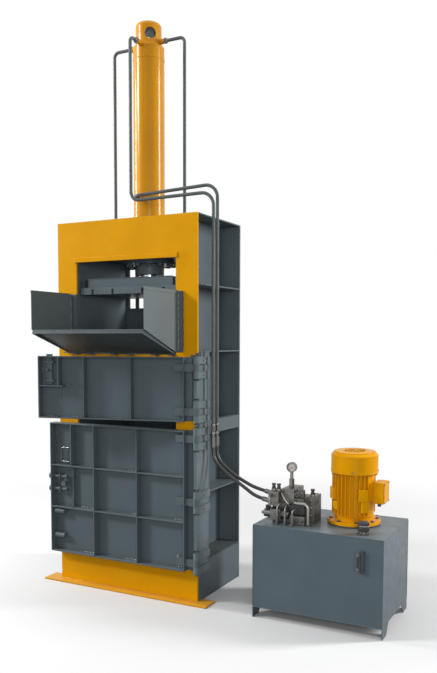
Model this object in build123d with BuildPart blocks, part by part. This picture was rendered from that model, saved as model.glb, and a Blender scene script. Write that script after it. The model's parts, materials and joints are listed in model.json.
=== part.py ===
# Vertical hydraulic baler with its power unit. Millimetres, +Z up, +Y to the back.
# Origin: on the floor, in the middle of the yellow front plate's front face.
from build123d import *

import os
from math import cos, radians, sin, tan

os.makedirs("parts", exist_ok=True)

# Press frame
frame_depth = 786
front_plate_t = 20
rear_plate_t = 20
wall_t = 12
chamber_width = 1000
bay_depth = 188
floor_level = 330
sill_h = 80
window_height = 787
header_height = 38
header_t = 12
header_overhang = 18
head_space = 43
head_plate_t = 40
head_web_h = 250
head_web_t = 20
head_web_inset = 120
foot_overhang = 124
foot_front = 95
foot_width = 170
foot_t = 12
foot_corner = 6
rear_window_inset = 30
rear_window_height = 365
guard_bar_inset = 75
guard_bar_w = 40
guard_bar_t = 10
guard_bar_lap = 20
bearer_x = 250
column_depth = 206
upper_rib_drop = 217
middle_rib_rise = 27
lower_rib_rise = 560
channel_drop = 49
channel_h = 112
channel_flange = 60
channel_t = 10

# Doors: a skin with flat ribs welded on in front, hung on straps at the right
pin_out = 22
pin_y = -55
pin_d = 25
pin_gap = 0.1
eye_r = 27
lug_h = 55
lug_back = 130
strap_h = 60
strap_gap = 1
strap_t = 24
strap_pad_gap = 11
strap_pad_l = 70
post_t = 28
post_front = -25
post_back = 125
post_ends = 6
post_bar_front = -62
post_bar_gap = 14
pin_head_r = 17
pin_head_h = 8
pin_tail = 3
door_start = 99
skin_start = 45
door_back_gap = 3
door_skin_t = 10
door_rib_h = 71
door_rib_t = 10
door_gap = 76
upper_door_past = 150
upper_door_height = 517
upper_door_lap = 65
upper_door_open_deg = 13
upper_rib_us = (547, 957)
short_rib_inset = 186
short_rib_drop = 253
short_rib_past = 35
lower_door_past = 48
lower_door_lap = 59
lower_door_height = 1151
lower_rib_us = (554, 995)
row_rib_rises = (396, 769)
half_rib_inset = 232
half_rib_h = 40
upper_hinge_drop = 85
upper_hinge_rise = 79
lower_hinge_drop = 64
middle_hinge_rise = 573
lower_hinge_rise = 74

# Latches of the two doors
bolt_d = 32
bolt_gap = 0.5
bolt_length = 158
bolt_n = -10
bolt_rises = (670, 558)
bolt_tip_inset = 2
bolt_guide_inset = 95
bolt_tie_w = 30
bolt_tie_t = 12
bolt_tie_lap = 24
bolt_knob_d = 46
bolt_knob_h = 26
keeper_gap = 5
keeper_t = 22
keeper_wall = 11
keeper_back = 52
keeper_arm_front = 22
keeper_base_t = 12
keeper_base_to = 150
grip_inset = 180
cleat_d = 46
cleat_out = 42
cleat_length = 100
cleat_inset = 138
cleat_foot_inset = 24
cleat_foot_w = 30
cleat_rises = (360, 143)
handle_rise = 803
handle_h = 124
handle_out = 34
handle_d = 14
handle_bend = 16
handle_w = 82
shoot_inset = 87
shoot_w = 50
shoot_t = 16
shoot_n = -15
shoot_foot_gap = 10
shoot_rise = 16
shoot_gap = 0.3
shoot_guide_t = 16
shoot_guide_front = 8
shoot_guide_rise = 20
shoot_guide_drop = 60
shoot_grip_d = 20
shoot_grip_l = 45
shoot_grip_drop = 115
shoot_keeper_clear = 3
shoot_keeper_gap = 6
shoot_keeper_t = 10
shoot_keeper_wall = 10
shoot_keeper_inner_wall = 4

# Feed hopper: a folding tray and two cheeks
tray_pin_y = -55
tray_pin_rise = 10
tray_deg = 21
tray_length = 512
tray_side_gap = 5.5
tray_t = 6
tray_lip = 28
tray_flange_rear = 10
tray_rear_gap = 2
knuckle_r = 9
tray_pin_d = 10
tray_knuckle_l = 120
tray_knuckle_inset = 132
bracket_l = 40
bracket_space = 2
bracket_drop = 6
bracket_t = 10
cheek_out = 40
cheek_pin_y = -30
cheek_t = 5
cheek_height = 494
cheek_root_rise = 15
cheek_root_gap = 10
cheek_floor_gap = 4
cheek_tip_gap = 2
cheek_knuckle_r = 8
cheek_pin_d = 8
cheek_knuckles = 9
cheek_knuckle_space = 1
cheek_bar_w = 20
cheek_bar_gap = 4
cheek_bar_inset = 5
cheek_leaf_start = 4
cheek_leaf_t = 6
cheek_hem_h = 25
cheek_hem_t = 3
cheek_hem_start = 25

# Cylinder, ram and platen
barrel_d = 272
bore_d = 220
barrel_l = 1695
barrel_hole_gap = 1
gland_flange_d = 440
gland_flange_t = 50
gland_nose_d = 256
gland_nose_l = 90
gland_spigot_h = 40
gland_bolts = 12
gland_bolt_edge = 30
gland_bolt_r = 18
gland_bolt_h = 20
rod_d = 150
piston_h = 120
piston_end_gap = 20
rod_flange_d = 280
rod_flange_t = 25
rod_bolts = 8
rod_bolt_edge = 25
rod_bolt_r = 15
rod_bolt_h = 10
ram_gap = 20
cap_shoulder = 105
cap_cone = 25
cap_spigot_h = 15
eye_stub_d = 225
eye_stub_h = 183
eye_hole_d = 96
eye_hole_rise = 72
eye_turn_deg = 40
eye_edge_r = 38
platen_plate_t = 60
platen_box_h = 75
platen_side_gap = 15
platen_front_gap = 20
platen_back_gap = 26
platen_box_inset = 55
platen_box_wall = 16
strap_slot_xs = (-360, -150, 150, 360)
strap_slot_w = 22
strap_slot_h = 45
shoe_w = 40
shoe_l = 90
shoe_h = 70
shoe_gap = 4
shoe_inset = 20

# Hydraulic pipes and hoses
pipe_d = 28
boss_d = 44
boss_l = 26
port_bend = 45
lower_bend = 75
side_bend = 110
head_pipe_x = 10
head_pipe_out = 301
head_port_rise = 105
head_port_out = 203
head_run_rise = 156
run_rise = 9
drop_x = 795
rod_pipe_out = 233
rod_port_x = -5
rod_port_rise = 210
rod_port_out = 178
rod_run_rise = 31
side_pipe_out = 221
right_port_rise = 145
left_port_rise = 129
union_bottom = 1418
union_h = 42
union_r = 22
ferrule_r = 18
ferrule_neck_r = 12
ferrule_neck_l = 53
ferrule_l = 82
hose_d = 28
hose_nut_r = 20
hose_nut_l = 18
hose_arc_share = 0.45
hose_one_end = (1240, 905)
hose_two_end = (1232, 953)

# Power unit
tank_x = 1227
tank_y = -69
tank_w = 1023
tank_d = 750
tank_top = 732
tank_sheet = 5
tank_bottom = 83
tank_floor_rise = 7
tank_leg_w = 55
tank_leg_slope = 65
lid_t = 8
motor_from_right = 351
motor_from_front = 429
motor_ring_edge = 15
motor_ring_h = 10
motor_flange_r = 205
motor_flange_t = 24
motor_neck_r = 145
motor_neck_h = 36
motor_core_r = 152
motor_fin_h = 20
motor_body_h = 330
motor_shield_t = 20
motor_shell = 57
rotor_gap = 3
fin_count = 30
fin_t = 7
fin_ends = 10
terminal_fin_skip = 32
pad_w = 70
pad_h = 90
pad_rise = 173
pad_out = 34
pad_deg = (39, 141, 219, 309)
cowl_overhang = 9
cowl_h = 165
cowl_wall = 4
cowl_chamfer = 26
cowl_ring_rs = (24, 44, 64, 84)
cowl_ring_w = 4
cowl_spoke_w = 8
cowl_lugs = 4
cowl_lug_w = 35
cowl_lug_deg = 45
fan_tip_gap = 41
fan_hub_r = 45
fan_h = 45
fan_blades = 9
fan_blade_t = 4
fan_lift = 25
shaft_d = 48
bearing_gap = 0.1
coupling_r = 40
coupling_h = 60
coupling_gap = 20
terminal_w = 150
terminal_h = 165
terminal_depth = 78
terminal_rise = 108
terminal_corner = 12
terminal_cover_edge = 6
terminal_cover_t = 6
terminal_seat_w = 120
bell_r = 120
bell_h = 110
bell_wall = 12
pump_r = 75
pump_h = 190
suction_r = 25
suction_h = 120
neck_from_right = 180
neck_from_front = 109
neck_d = 62
neck_h = 42
cap_wall = 8
cap_skirt_h = 18
cap_top_t = 48
cap_turn_gap = 0.3
cap_ribs = 18
cap_rib_r = 3
sight_from_right = 182
sight_drop = 96
sight_h = 140
sight_w = 34
sight_t = 24
sight_corner = 11
sight_bolt_inset = 17
sight_bolt_r = 10
sight_bolt_h = 7
sight_glass_w = 14
sight_glass_inset = 34
sight_glass_depth = 5

# Valve group on the tank
block_from_left = 83
block_from_front = 189
block_depth = 210
foot_block_w = 75
main_block_w = 107
main_block_h = 260
step_block_w = 80
step_block_h = 193
side_block_w = 68
side_block_h = 208
side_block_setback = 50
base_block_lap = 12
base_block_w = 120
base_block_out = 60
base_block_h = 68
port_block_past = 10
port_block_out = 62
port_block_in = 80
port_block_rise = 133
port_block_h = 110
knob_insets = (22, 64)
side_knob_inset = 42
side_knob_setback = 35
knob_r = 16
knob_h = 40
knob_waist_r = 12
knob_stem_d = 14
knob_stem_l = 18
knob_seat_r = 19
knob_seat_h = 15
knob_gap = 0.3
valve_inset = 15
valve_w = 84
valve_out = 78
valve_rise = 26
valve_h = 84
coil_r = 31
coil_l = 62
coil_nut_r = 12
coil_nut_l = 24
cartridge_hex_h = 20
cartridge_step = 3.5
step_cartridge_insets = (20, 60)
step_cartridge_setback = 45
step_cartridge_r = 18
step_cartridge_h = 58
front_cartridge_insets = (4, 70, 130)
front_cartridge_out = 96
front_cartridge_r = 14
front_cartridge_h = 70
stem_inset = 55
stem_setback = 80
stem_r = 22
stem_h = 70
isolator_r = 13
isolator_h = 52
dial_r = 40
dial_t = 32
dial_rim = 4
dial_recess = 9
needle_l = 27
needle_w = 3
needle_t = 1.5
needle_hub_r = 4
needle_hub_h = 4.5
needle_pin_d = 4
needle_pin_l = 6
needle_rest_deg = 225
return_tube_d = 25
return_tube_inset = 8
return_tube_w = 127
return_tube_out = 50
return_tube_rise = 168
return_bend = 40

# Worked out from the sizes above: the frame and its doors, from the floor up
half_chamber = chamber_width / 2
wall_outer = half_chamber + wall_t
half_frame = wall_outer + bay_depth
frame_width = 2 * half_frame
rear_face = frame_depth - rear_plate_t
cyl_y = frame_depth / 2
lower_door_bottom = floor_level - lower_door_lap
lower_door_top = lower_door_bottom + lower_door_height
upper_door_bottom = lower_door_top + door_gap
upper_door_top = upper_door_bottom + upper_door_height
doorway_top = upper_door_top - upper_door_lap
doorway_height = doorway_top - floor_level
window_bottom = doorway_top + sill_h
window_top = window_bottom + window_height
head_plate_level = window_top + head_space
top_underside = head_plate_level + head_plate_t + head_web_h
frame_height = top_underside + wall_t
foot_back = foot_width - foot_front
rear_window_width = chamber_width - 2 * rear_window_inset
rear_window_bottom = window_top - rear_window_height
guard_bar_x = rear_window_width / 2 - guard_bar_inset
upper_rib_z = window_top - upper_rib_drop
middle_rib_z = window_bottom + middle_rib_rise
lower_rib_z = floor_level + lower_rib_rise
channel_z = lower_door_top - channel_drop

pin_x = half_frame + pin_out
skin_back = -pin_y - door_back_gap
skin_front = skin_back - door_skin_t
rib_n = (-skin_front, door_rib_h - skin_front)
lug_offset = strap_h / 2 + strap_gap
strap_pad_from = door_start + door_rib_t + strap_pad_gap
strap_length = strap_pad_from + strap_pad_l
upper_door_end = pin_x + half_chamber + upper_door_past
lower_door_end = pin_x + half_frame + lower_door_past
upper_hinge_zs = (upper_door_top - upper_hinge_drop, upper_door_bottom + upper_hinge_rise)
lower_hinge_zs = (
    lower_door_top - lower_hinge_drop,
    lower_door_bottom + middle_hinge_rise,
    lower_door_bottom + lower_hinge_rise,
)
row_rib_zs = [lower_door_bottom + rise for rise in row_rib_rises]
bolt_zs = [lower_door_bottom + rise for rise in bolt_rises]
cleat_zs = [lower_door_bottom + rise for rise in cleat_rises]
handle_z = lower_door_bottom + handle_rise
short_rib_u = upper_door_end - short_rib_inset
short_rib_z = upper_door_top - short_rib_drop
shoot_u = upper_door_end - shoot_inset
shoot_bottom = short_rib_z + door_rib_t + shoot_foot_gap
shoot_top = upper_door_top + shoot_rise
shoot_guide_zs = (shoot_bottom + shoot_guide_rise, upper_door_top - shoot_guide_drop)

# The hopper, from the window's lower edge and the chamber's sides
tray_angle = radians(tray_deg)
tray_pin_z = window_bottom + tray_pin_rise
bracket_top = tray_pin_z - bracket_drop
cheek_x = half_chamber + cheek_out
tray_half_w = cheek_x - cheek_t / 2 - tray_side_gap
tray_knuckle_xs = (tray_knuckle_inset - tray_half_w, 0, tray_half_w - tray_knuckle_inset)
cheek_front_y = tray_pin_y - tray_length * cos(tray_angle) - cheek_tip_gap
cheek_root_z = tray_pin_z + cheek_root_rise
cheek_top = cheek_root_z + cheek_height

# The cylinder, up from the head plate, and the raised ram under it
barrel_r = barrel_d / 2
bore_r = bore_d / 2
pipe_r = pipe_d / 2
gland_bottom = head_plate_level - gland_flange_t
barrel_top = head_plate_level + barrel_l
cap_side_top = barrel_top + cap_shoulder
stub_bottom = cap_side_top + cap_cone
eye_top = stub_bottom + eye_stub_h
eye_hole_z = stub_bottom + eye_hole_rise
piston_top = barrel_top - piston_end_gap
rod_bottom = gland_bottom - gland_nose_l - ram_gap
box_top = rod_bottom - rod_flange_t
platen_top = box_top - platen_box_h
platen_bottom = platen_top - platen_plate_t
platen_front = front_plate_t + platen_front_gap
platen_back = rear_face - platen_back_gap
head_port_z = barrel_top + head_port_rise
right_port_z = barrel_top + right_port_rise
left_port_z = barrel_top + left_port_rise
head_run_z = frame_height + head_run_rise
rod_port_z = frame_height + rod_port_rise
side_pipe_x = barrel_r + side_pipe_out
head_pipe_y = cyl_y - head_pipe_out
rod_pipe_y = cyl_y - rod_pipe_out
union_top = union_bottom + union_h

# The power unit, from the tank's corner
tank_right = tank_x + tank_w
tank_back = tank_y + tank_d
lid_bottom = tank_top - lid_t
motor_x = tank_right - motor_from_right
motor_y = tank_y + motor_from_front
motor_ring_r = motor_flange_r - motor_ring_edge
motor_fin_r = motor_core_r + motor_fin_h
stator_r = motor_core_r - motor_shell
pad_r = motor_core_r + pad_out
cowl_r = motor_fin_r + cowl_overhang
fan_r = cowl_r - fan_tip_gap
motor_opening_r = coupling_r + coupling_gap
ring_top = tank_top + motor_ring_h
body_bottom = ring_top + motor_flange_t + motor_neck_h
body_top = body_bottom + motor_body_h
pad_z = body_bottom + pad_rise
terminal_z = body_bottom + terminal_rise
neck_x = tank_right - neck_from_right
neck_y = tank_y + neck_from_front
neck_top = tank_top + neck_h
cap_d = neck_d + 2 * cap_wall
cap_h = cap_top_t + cap_skirt_h
sight_x = tank_right - sight_from_right
sight_top = tank_top - lid_t - sight_drop

# The valve group: blocks side by side along the tank, from the left
block_y0 = tank_y + block_from_front
block_y1 = block_y0 + block_depth
foot_x0 = tank_x + block_from_left
main_x0 = foot_x0 + foot_block_w
main_x1 = main_x0 + main_block_w
step_x1 = main_x1 + step_block_w
side_x1 = step_x1 + side_block_w
side_y0 = block_y0 + side_block_setback
main_top = tank_top + main_block_h
step_top = tank_top + step_block_h
side_top = tank_top + side_block_h
base_x0 = main_x1 - base_block_lap
base_x1 = base_x0 + base_block_w
base_top = tank_top + base_block_h
port_x0 = foot_x0 - port_block_past
port_z0 = tank_top + port_block_rise
port_z1 = port_z0 + port_block_h
side_knob_x = step_x1 + side_knob_inset
side_knob_y = side_y0 + side_knob_setback
valve_x0 = foot_x0 + valve_inset
valve_front = block_y0 - valve_out
valve_z0 = tank_top + valve_rise
stem_x = main_x0 + stem_inset
stem_y = block_y0 + stem_setback


def block(x, y, z, mode=Mode.ADD):
    """A box between two ends on each axis."""
    middle = ((x[0] + x[1]) / 2, (y[0] + y[1]) / 2, (z[0] + z[1]) / 2)
    with Locations(middle):
        Box(x[1] - x[0], y[1] - y[0], z[1] - z[0], mode=mode)


def rod(start, end, radius, mode=Mode.ADD):
    """A round bar from one point to another."""
    a = Vector(*start)
    b = Vector(*end)
    with Locations(Plane(origin=a, z_dir=b - a)):
        Cylinder(radius, (b - a).length, align=(Align.CENTER, Align.CENTER, Align.MIN), mode=mode)


def hexagon(x, y, z, radius, height):
    """An upright hexagon nut or bolt head, by the radius to its corners."""
    with BuildSketch(Plane.XY.offset(z)) as flats:
        with Locations((x, y)):
            RegularPolygon(radius, 6)
    extrude(flats.sketch, amount=height)


def turned(x, y, outline, mode=Mode.ADD):
    """A piece turned about an upright axis, from its outline of radius and height."""
    with BuildSketch(Plane(origin=(x, y, 0), x_dir=(1, 0, 0), z_dir=(0, -1, 0))) as half:
        with BuildLine():
            Polyline(*outline, close=True)
        make_face()
    revolve(half.sketch, axis=Axis((x, y, 0), (0, 0, 1)), mode=mode)


def side_profile(x, width, points):
    """A flat outline of depth and height, as wide as given from x to the right."""
    with BuildSketch(Plane.YZ.offset(x)) as outline:
        with BuildLine():
            Polyline(*points, close=True)
        make_face()
    extrude(outline.sketch, amount=width)


def bent_tube(points, radii, radius):
    """A round bar along straight runs joined by arcs."""
    with BuildPart() as tube:
        with BuildLine() as path:
            FilletPolyline(*points, radius=radii)
        with BuildSketch(Plane(origin=path.line @ 0, z_dir=path.line % 0)):
            Circle(radius)
        sweep()
    return tube.part


def flat(plane, u, n, z):
    """A straight flat bar, placed on a door's plane."""
    with BuildPart(plane) as bar:
        block(u, n, z)
    return bar.part


def set_together(parts):
    """Separate solids that meet face to face in one welded piece."""
    return Compound([solid for part in parts for solid in part.solids()])


def save(part, name):
    """Label a finished piece and write it to its own file."""
    part.label = name
    export_step(part, f"parts/{name}.step")


def door_plane(degrees_open):
    """Local X runs from the hinge pin to the free end, local Y to the front."""
    a = radians(degrees_open)
    return Plane(origin=(pin_x, pin_y, 0), x_dir=(-cos(a), -sin(a), 0), z_dir=(0, 0, 1))


upper_plane = door_plane(upper_door_open_deg)
lower_plane = door_plane(0)

# Front plate with the feed window, the doorway and a raised bar over the window
with BuildPart() as front_plate:
    with BuildSketch(Plane.XZ):
        with Locations((0, (foot_t + frame_height) / 2)):
            Rectangle(frame_width, frame_height - foot_t)
        with Locations((0, window_bottom + window_height / 2)):
            Rectangle(chamber_width, window_height, mode=Mode.SUBTRACT)
        with Locations((0, floor_level + doorway_height / 2)):
            Rectangle(chamber_width, doorway_height, mode=Mode.SUBTRACT)
    extrude(amount=-front_plate_t)
    header_half = half_chamber + header_overhang
    block((-header_half, header_half), (-header_t, 0), (window_top, window_top + header_height))
save(front_plate.part, "front_plate")

with BuildPart() as foot_strip:
    foot_half = half_frame + foot_overhang
    block((-foot_half, foot_half), (-foot_front, foot_back), (0, foot_t))
    fillet(foot_strip.edges().filter_by(Axis.Z), radius=foot_corner)
save(foot_strip.part, "foot_strip")

with BuildPart() as side_walls:
    for side in (-1, 1):
        ends = sorted((side * half_chamber, side * wall_outer))
        block(ends, (front_plate_t, rear_face), (floor_level, top_underside))
save(side_walls.part, "side_walls")

# Rear wall with an open window behind the platen and two upright bars
with BuildPart() as rear_wall:
    with BuildSketch(Plane.XZ.offset(-frame_depth)):
        with Locations((0, top_underside / 2)):
            Rectangle(frame_width, top_underside)
        with Locations((0, rear_window_bottom + rear_window_height / 2)):
            Rectangle(rear_window_width, rear_window_height, mode=Mode.SUBTRACT)
    extrude(amount=rear_plate_t)
    for side in (-1, 1):
        block(
            (side * guard_bar_x - guard_bar_w / 2, side * guard_bar_x + guard_bar_w / 2),
            (frame_depth, frame_depth + guard_bar_t),
            (rear_window_bottom - guard_bar_lap, rear_window_bottom + rear_window_height + guard_bar_lap),
        )
save(rear_wall.part, "rear_wall")

with BuildPart() as top_plate:
    with BuildSketch(Plane.XY.offset(top_underside)):
        with Locations((0, (front_plate_t + frame_depth) / 2)):
            Rectangle(frame_width, frame_depth - front_plate_t)
        with Locations((0, cyl_y)):
            Circle(barrel_r + barrel_hole_gap, mode=Mode.SUBTRACT)
        with Locations((-side_pipe_x, cyl_y), (side_pipe_x, cyl_y)):
            Circle(pipe_r + barrel_hole_gap, mode=Mode.SUBTRACT)
    extrude(amount=wall_t)
save(top_plate.part, "top_plate")

# The head: a thick plate that takes the cylinder's push, with two webs up to the top
with BuildPart() as head_plate:
    with BuildSketch(Plane.XY.offset(head_plate_level)):
        with Locations((0, (front_plate_t + rear_face) / 2)):
            Rectangle(chamber_width, rear_face - front_plate_t)
        with Locations((0, cyl_y)):
            Circle(barrel_r + barrel_hole_gap, mode=Mode.SUBTRACT)
    extrude(amount=head_plate_t)
    for web_y in (front_plate_t + head_web_inset, rear_face - head_web_inset):
        block(
            (-half_chamber, half_chamber),
            (web_y - head_web_t / 2, web_y + head_web_t / 2),
            (head_plate_level + head_plate_t, top_underside),
        )
save(head_plate.part, "head_plate")

with BuildPart() as base_floor:
    block((-half_frame, half_frame), (front_plate_t, rear_face), (floor_level - wall_t, floor_level))
save(base_floor.part, "base_floor")

# Skirts and bearers under the chamber, notched over the foot strip
with BuildPart() as base_skirts:
    for side in (-1, 1):
        skirt_xs = sorted((side * (half_frame - wall_t), side * half_frame))
        bearer_xs = (side * bearer_x - wall_t / 2, side * bearer_x + wall_t / 2)
        for plate_xs in (skirt_xs, bearer_xs):
            side_profile(
                plate_xs[0],
                wall_t,
                (
                    (front_plate_t, foot_t),
                    (foot_back, foot_t),
                    (foot_back, 0),
                    (rear_face, 0),
                    (rear_face, floor_level - wall_t),
                    (front_plate_t, floor_level - wall_t),
                ),
            )
save(base_skirts.part, "base_skirts")

# Shelf ribs and a channel on each side of the chamber
with BuildPart() as side_ribs:
    for side in (-1, 1):
        across = sorted((side * wall_outer, side * half_frame))
        for rib_z, rib_from in (
            (upper_rib_z, front_plate_t),
            (middle_rib_z, front_plate_t),
            (lower_rib_z, column_depth),
        ):
            block(across, (rib_from, rear_face), (rib_z - wall_t / 2, rib_z + wall_t / 2))
        with BuildSketch(Plane.XZ.offset(-column_depth)) as channel:
            outer = side * half_frame
            inner = side * (half_frame - channel_t)
            tip = side * (half_frame - channel_flange)
            with BuildLine():
                Polyline(
                    (tip, channel_z),
                    (outer, channel_z),
                    (outer, channel_z + channel_h),
                    (tip, channel_z + channel_h),
                    (tip, channel_z + channel_h - channel_t),
                    (inner, channel_z + channel_h - channel_t),
                    (inner, channel_z + channel_t),
                    (tip, channel_z + channel_t),
                    close=True,
                )
            make_face()
        extrude(channel.sketch, amount=column_depth - rear_face)
save(side_ribs.part, "side_ribs")

# Folded corner columns behind the front plate
with BuildPart() as corner_columns:
    for side in (-1, 1):
        with BuildSketch(Plane.XY.offset(floor_level)) as fold:
            outer = side * half_frame
            inner = side * (half_frame - wall_t)
            wall = side * wall_outer
            with BuildLine():
                Polyline(
                    (outer, front_plate_t),
                    (outer, column_depth),
                    (wall, column_depth),
                    (wall, column_depth - wall_t),
                    (inner, column_depth - wall_t),
                    (inner, front_plate_t),
                    close=True,
                )
            make_face()
        extrude(fold.sketch, amount=middle_rib_z - wall_t / 2 - floor_level)
save(corner_columns.part, "corner_columns")

# Hinge bar: an upright with a pair of rounded lugs for each strap
hinge_zs = upper_hinge_zs + lower_hinge_zs
lug_end = pin_x + eye_r
with BuildPart() as hinge_bar:
    post_bottom = min(hinge_zs) - lug_offset - lug_h - post_ends
    post_top = max(hinge_zs) + lug_offset + lug_h + post_ends
    block((half_frame, half_frame + post_t), (post_front, post_back), (post_bottom, post_top))
    for hinge_z in hinge_zs:
        for lug_z in (hinge_z + lug_offset, hinge_z - lug_offset - lug_h):
            with BuildSketch(Plane.XY.offset(lug_z)) as lug:
                with Locations((pin_x, pin_y)):
                    Circle(eye_r)
                with Locations(((half_frame + lug_end) / 2, (pin_y + lug_back) / 2)):
                    Rectangle(lug_end - half_frame, lug_back - pin_y)
                with Locations((pin_x, pin_y)):
                    Circle(pin_d / 2 + pin_gap / 2, mode=Mode.SUBTRACT)
            extrude(lug.sketch, amount=lug_h)
post_bars = []
for above, below in zip(hinge_zs, hinge_zs[1:]):
    bar_top = above - lug_offset - lug_h - pin_tail - post_bar_gap
    bar_bottom = below + lug_offset + lug_h + pin_head_h + post_bar_gap
    bar_xs = (half_frame, half_frame + post_t)
    post_bars.append(flat(Plane.XY, bar_xs, (post_bar_front, post_front), (bar_bottom, bar_top)))
save(set_together([hinge_bar.part, *post_bars]), "hinge_bar")

with BuildPart() as hinge_pins:
    for hinge_z in hinge_zs:
        pin_top = hinge_z + lug_offset + lug_h
        pin_bottom = hinge_z - lug_offset - lug_h - pin_tail
        rod((pin_x, pin_y, pin_bottom), (pin_x, pin_y, pin_top), pin_d / 2)
        rod((pin_x, pin_y, pin_top), (pin_x, pin_y, pin_top + pin_head_h), pin_head_r)
save(hinge_pins.part, "hinge_pins")


def door_straps(plane, zs):
    """Straps with an eye round the pin and a pad down to the door's skin."""
    with BuildPart() as straps:
        for hinge_z in zs:
            with BuildSketch(plane.offset(hinge_z - strap_h / 2)) as strap:
                Circle(eye_r)
                with Locations((strap_length / 2, 0)):
                    Rectangle(strap_length, strap_t)
                with Locations(((strap_pad_from + strap_length) / 2, -skin_front / 2)):
                    Rectangle(strap_length - strap_pad_from, skin_front)
                Circle(pin_d / 2 + pin_gap, mode=Mode.SUBTRACT)
            extrude(strap.sketch, amount=strap_h)
    return straps.part


def strap_slots(zs):
    """Cuts in a door's end rib that the straps pass through."""
    for hinge_z in zs:
        block(
            (door_start, door_start + door_rib_t),
            (-strap_t / 2, strap_t / 2),
            (hinge_z - strap_h / 2, hinge_z + strap_h / 2),
            mode=Mode.SUBTRACT,
        )


save(door_straps(upper_plane, upper_hinge_zs), "upper_door_straps")
save(door_straps(lower_plane, lower_hinge_zs), "lower_door_straps")

with BuildPart(upper_plane) as upper_door_skin:
    block((skin_start, upper_door_end), (-skin_back, -skin_front), (upper_door_bottom, upper_door_top))
save(upper_door_skin.part, "upper_door_skin")

# Upper door: flats on edge round the skin, two uprights, the latch corner and the bolt's guides
shoot_us = (shoot_u - shoot_w / 2 - shoot_gap, shoot_u + shoot_w / 2 + shoot_gap)
shoot_ns = (shoot_n - shoot_t / 2 - shoot_gap, shoot_n + shoot_t / 2 + shoot_gap)
upper_us = (door_start + door_rib_t, upper_door_end - door_rib_t)
upper_zs = (upper_door_bottom + door_rib_t, upper_door_top - door_rib_t)
with BuildPart(upper_plane) as upper_hinge_rib:
    block((door_start, upper_us[0]), rib_n, (upper_door_bottom, upper_door_top))
    strap_slots(upper_hinge_zs)
with BuildPart(upper_plane) as upper_top_rib:
    block(upper_us, rib_n, (upper_zs[1], upper_door_top))
    block(shoot_us, shoot_ns, (upper_zs[1], upper_door_top), mode=Mode.SUBTRACT)
with BuildPart(upper_plane) as shoot_guides:
    for guide_z in shoot_guide_zs:
        block(
            (shoot_us[0] - shoot_guide_t, shoot_us[1] + shoot_guide_t),
            (-skin_front, shoot_ns[1] + shoot_guide_front),
            (guide_z, guide_z + shoot_guide_t),
        )
        block(shoot_us, shoot_ns, (guide_z, guide_z + shoot_guide_t), mode=Mode.SUBTRACT)
latch_us = (short_rib_u, short_rib_u + door_rib_t, upper_us[1])
past_us = (short_rib_u - short_rib_past, short_rib_u)
upper_flats = [
    flat(upper_plane, (upper_us[1], upper_door_end), rib_n, (upper_door_bottom, upper_door_top)),
    flat(upper_plane, upper_us, rib_n, (upper_door_bottom, upper_zs[0])),
    flat(upper_plane, latch_us[:2], rib_n, (short_rib_z, upper_zs[1])),
    flat(upper_plane, latch_us[1:], rib_n, (short_rib_z, short_rib_z + door_rib_t)),
    flat(upper_plane, past_us, rib_n, (short_rib_z, short_rib_z + door_rib_t)),
]
for rib_u in upper_rib_us:
    upper_flats.append(flat(upper_plane, (rib_u, rib_u + door_rib_t), rib_n, upper_zs))
upper_ribs = set_together([upper_hinge_rib.part, upper_top_rib.part, shoot_guides.part, *upper_flats])
save(upper_ribs, "upper_door_ribs")

# Upper latch: a flat bolt that lifts through the top rib into its keeper
with BuildPart(upper_plane) as upper_door_bolt:
    block(
        (shoot_u - shoot_w / 2, shoot_u + shoot_w / 2),
        (shoot_n - shoot_t / 2, shoot_n + shoot_t / 2),
        (shoot_bottom, shoot_top),
    )
    shoot_grip_z = upper_door_top - shoot_grip_drop
    grip_start = (shoot_u, shoot_n + shoot_t / 2, shoot_grip_z)
    grip_end = (shoot_u, shoot_n + shoot_t / 2 + shoot_grip_l, shoot_grip_z)
    rod(grip_start, grip_end, shoot_grip_d / 2)
save(upper_door_bolt.part, "upper_door_bolt")

# Lower door's plate, with two stout studs and a pull handle welded to it
grip_u = lower_door_end - grip_inset
with BuildPart(lower_plane) as lower_door_skin:
    block((skin_start, lower_door_end), (-skin_back, -skin_front), (lower_door_bottom, lower_door_top))
    cleat_n = -skin_front + cleat_out
    cleat_u = lower_door_end - cleat_inset
    for cleat_z in cleat_zs:
        block(
            (cleat_u + cleat_foot_inset, cleat_u + cleat_foot_inset + cleat_foot_w),
            (-skin_front, cleat_n),
            (cleat_z - cleat_foot_w / 2, cleat_z + cleat_foot_w / 2),
        )
        rod((cleat_u, cleat_n, cleat_z), (cleat_u + cleat_length, cleat_n, cleat_z), cleat_d / 2)
    grip_n = -skin_front + handle_out
    handle_points = [
        lower_plane.from_local_coords(point)
        for point in (
            (grip_u, -skin_front, handle_z),
            (grip_u, grip_n, handle_z),
            (grip_u + handle_w, grip_n, handle_z),
            (grip_u + handle_w, grip_n, handle_z + handle_h),
            (grip_u, grip_n, handle_z + handle_h),
            (grip_u, -skin_front, handle_z + handle_h),
        )
    ]
pull_handle = bent_tube(handle_points, [handle_bend] * (len(handle_points) - 2), handle_d / 2)
save(set_together([lower_door_skin.part, pull_handle]), "lower_door_skin")

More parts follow.
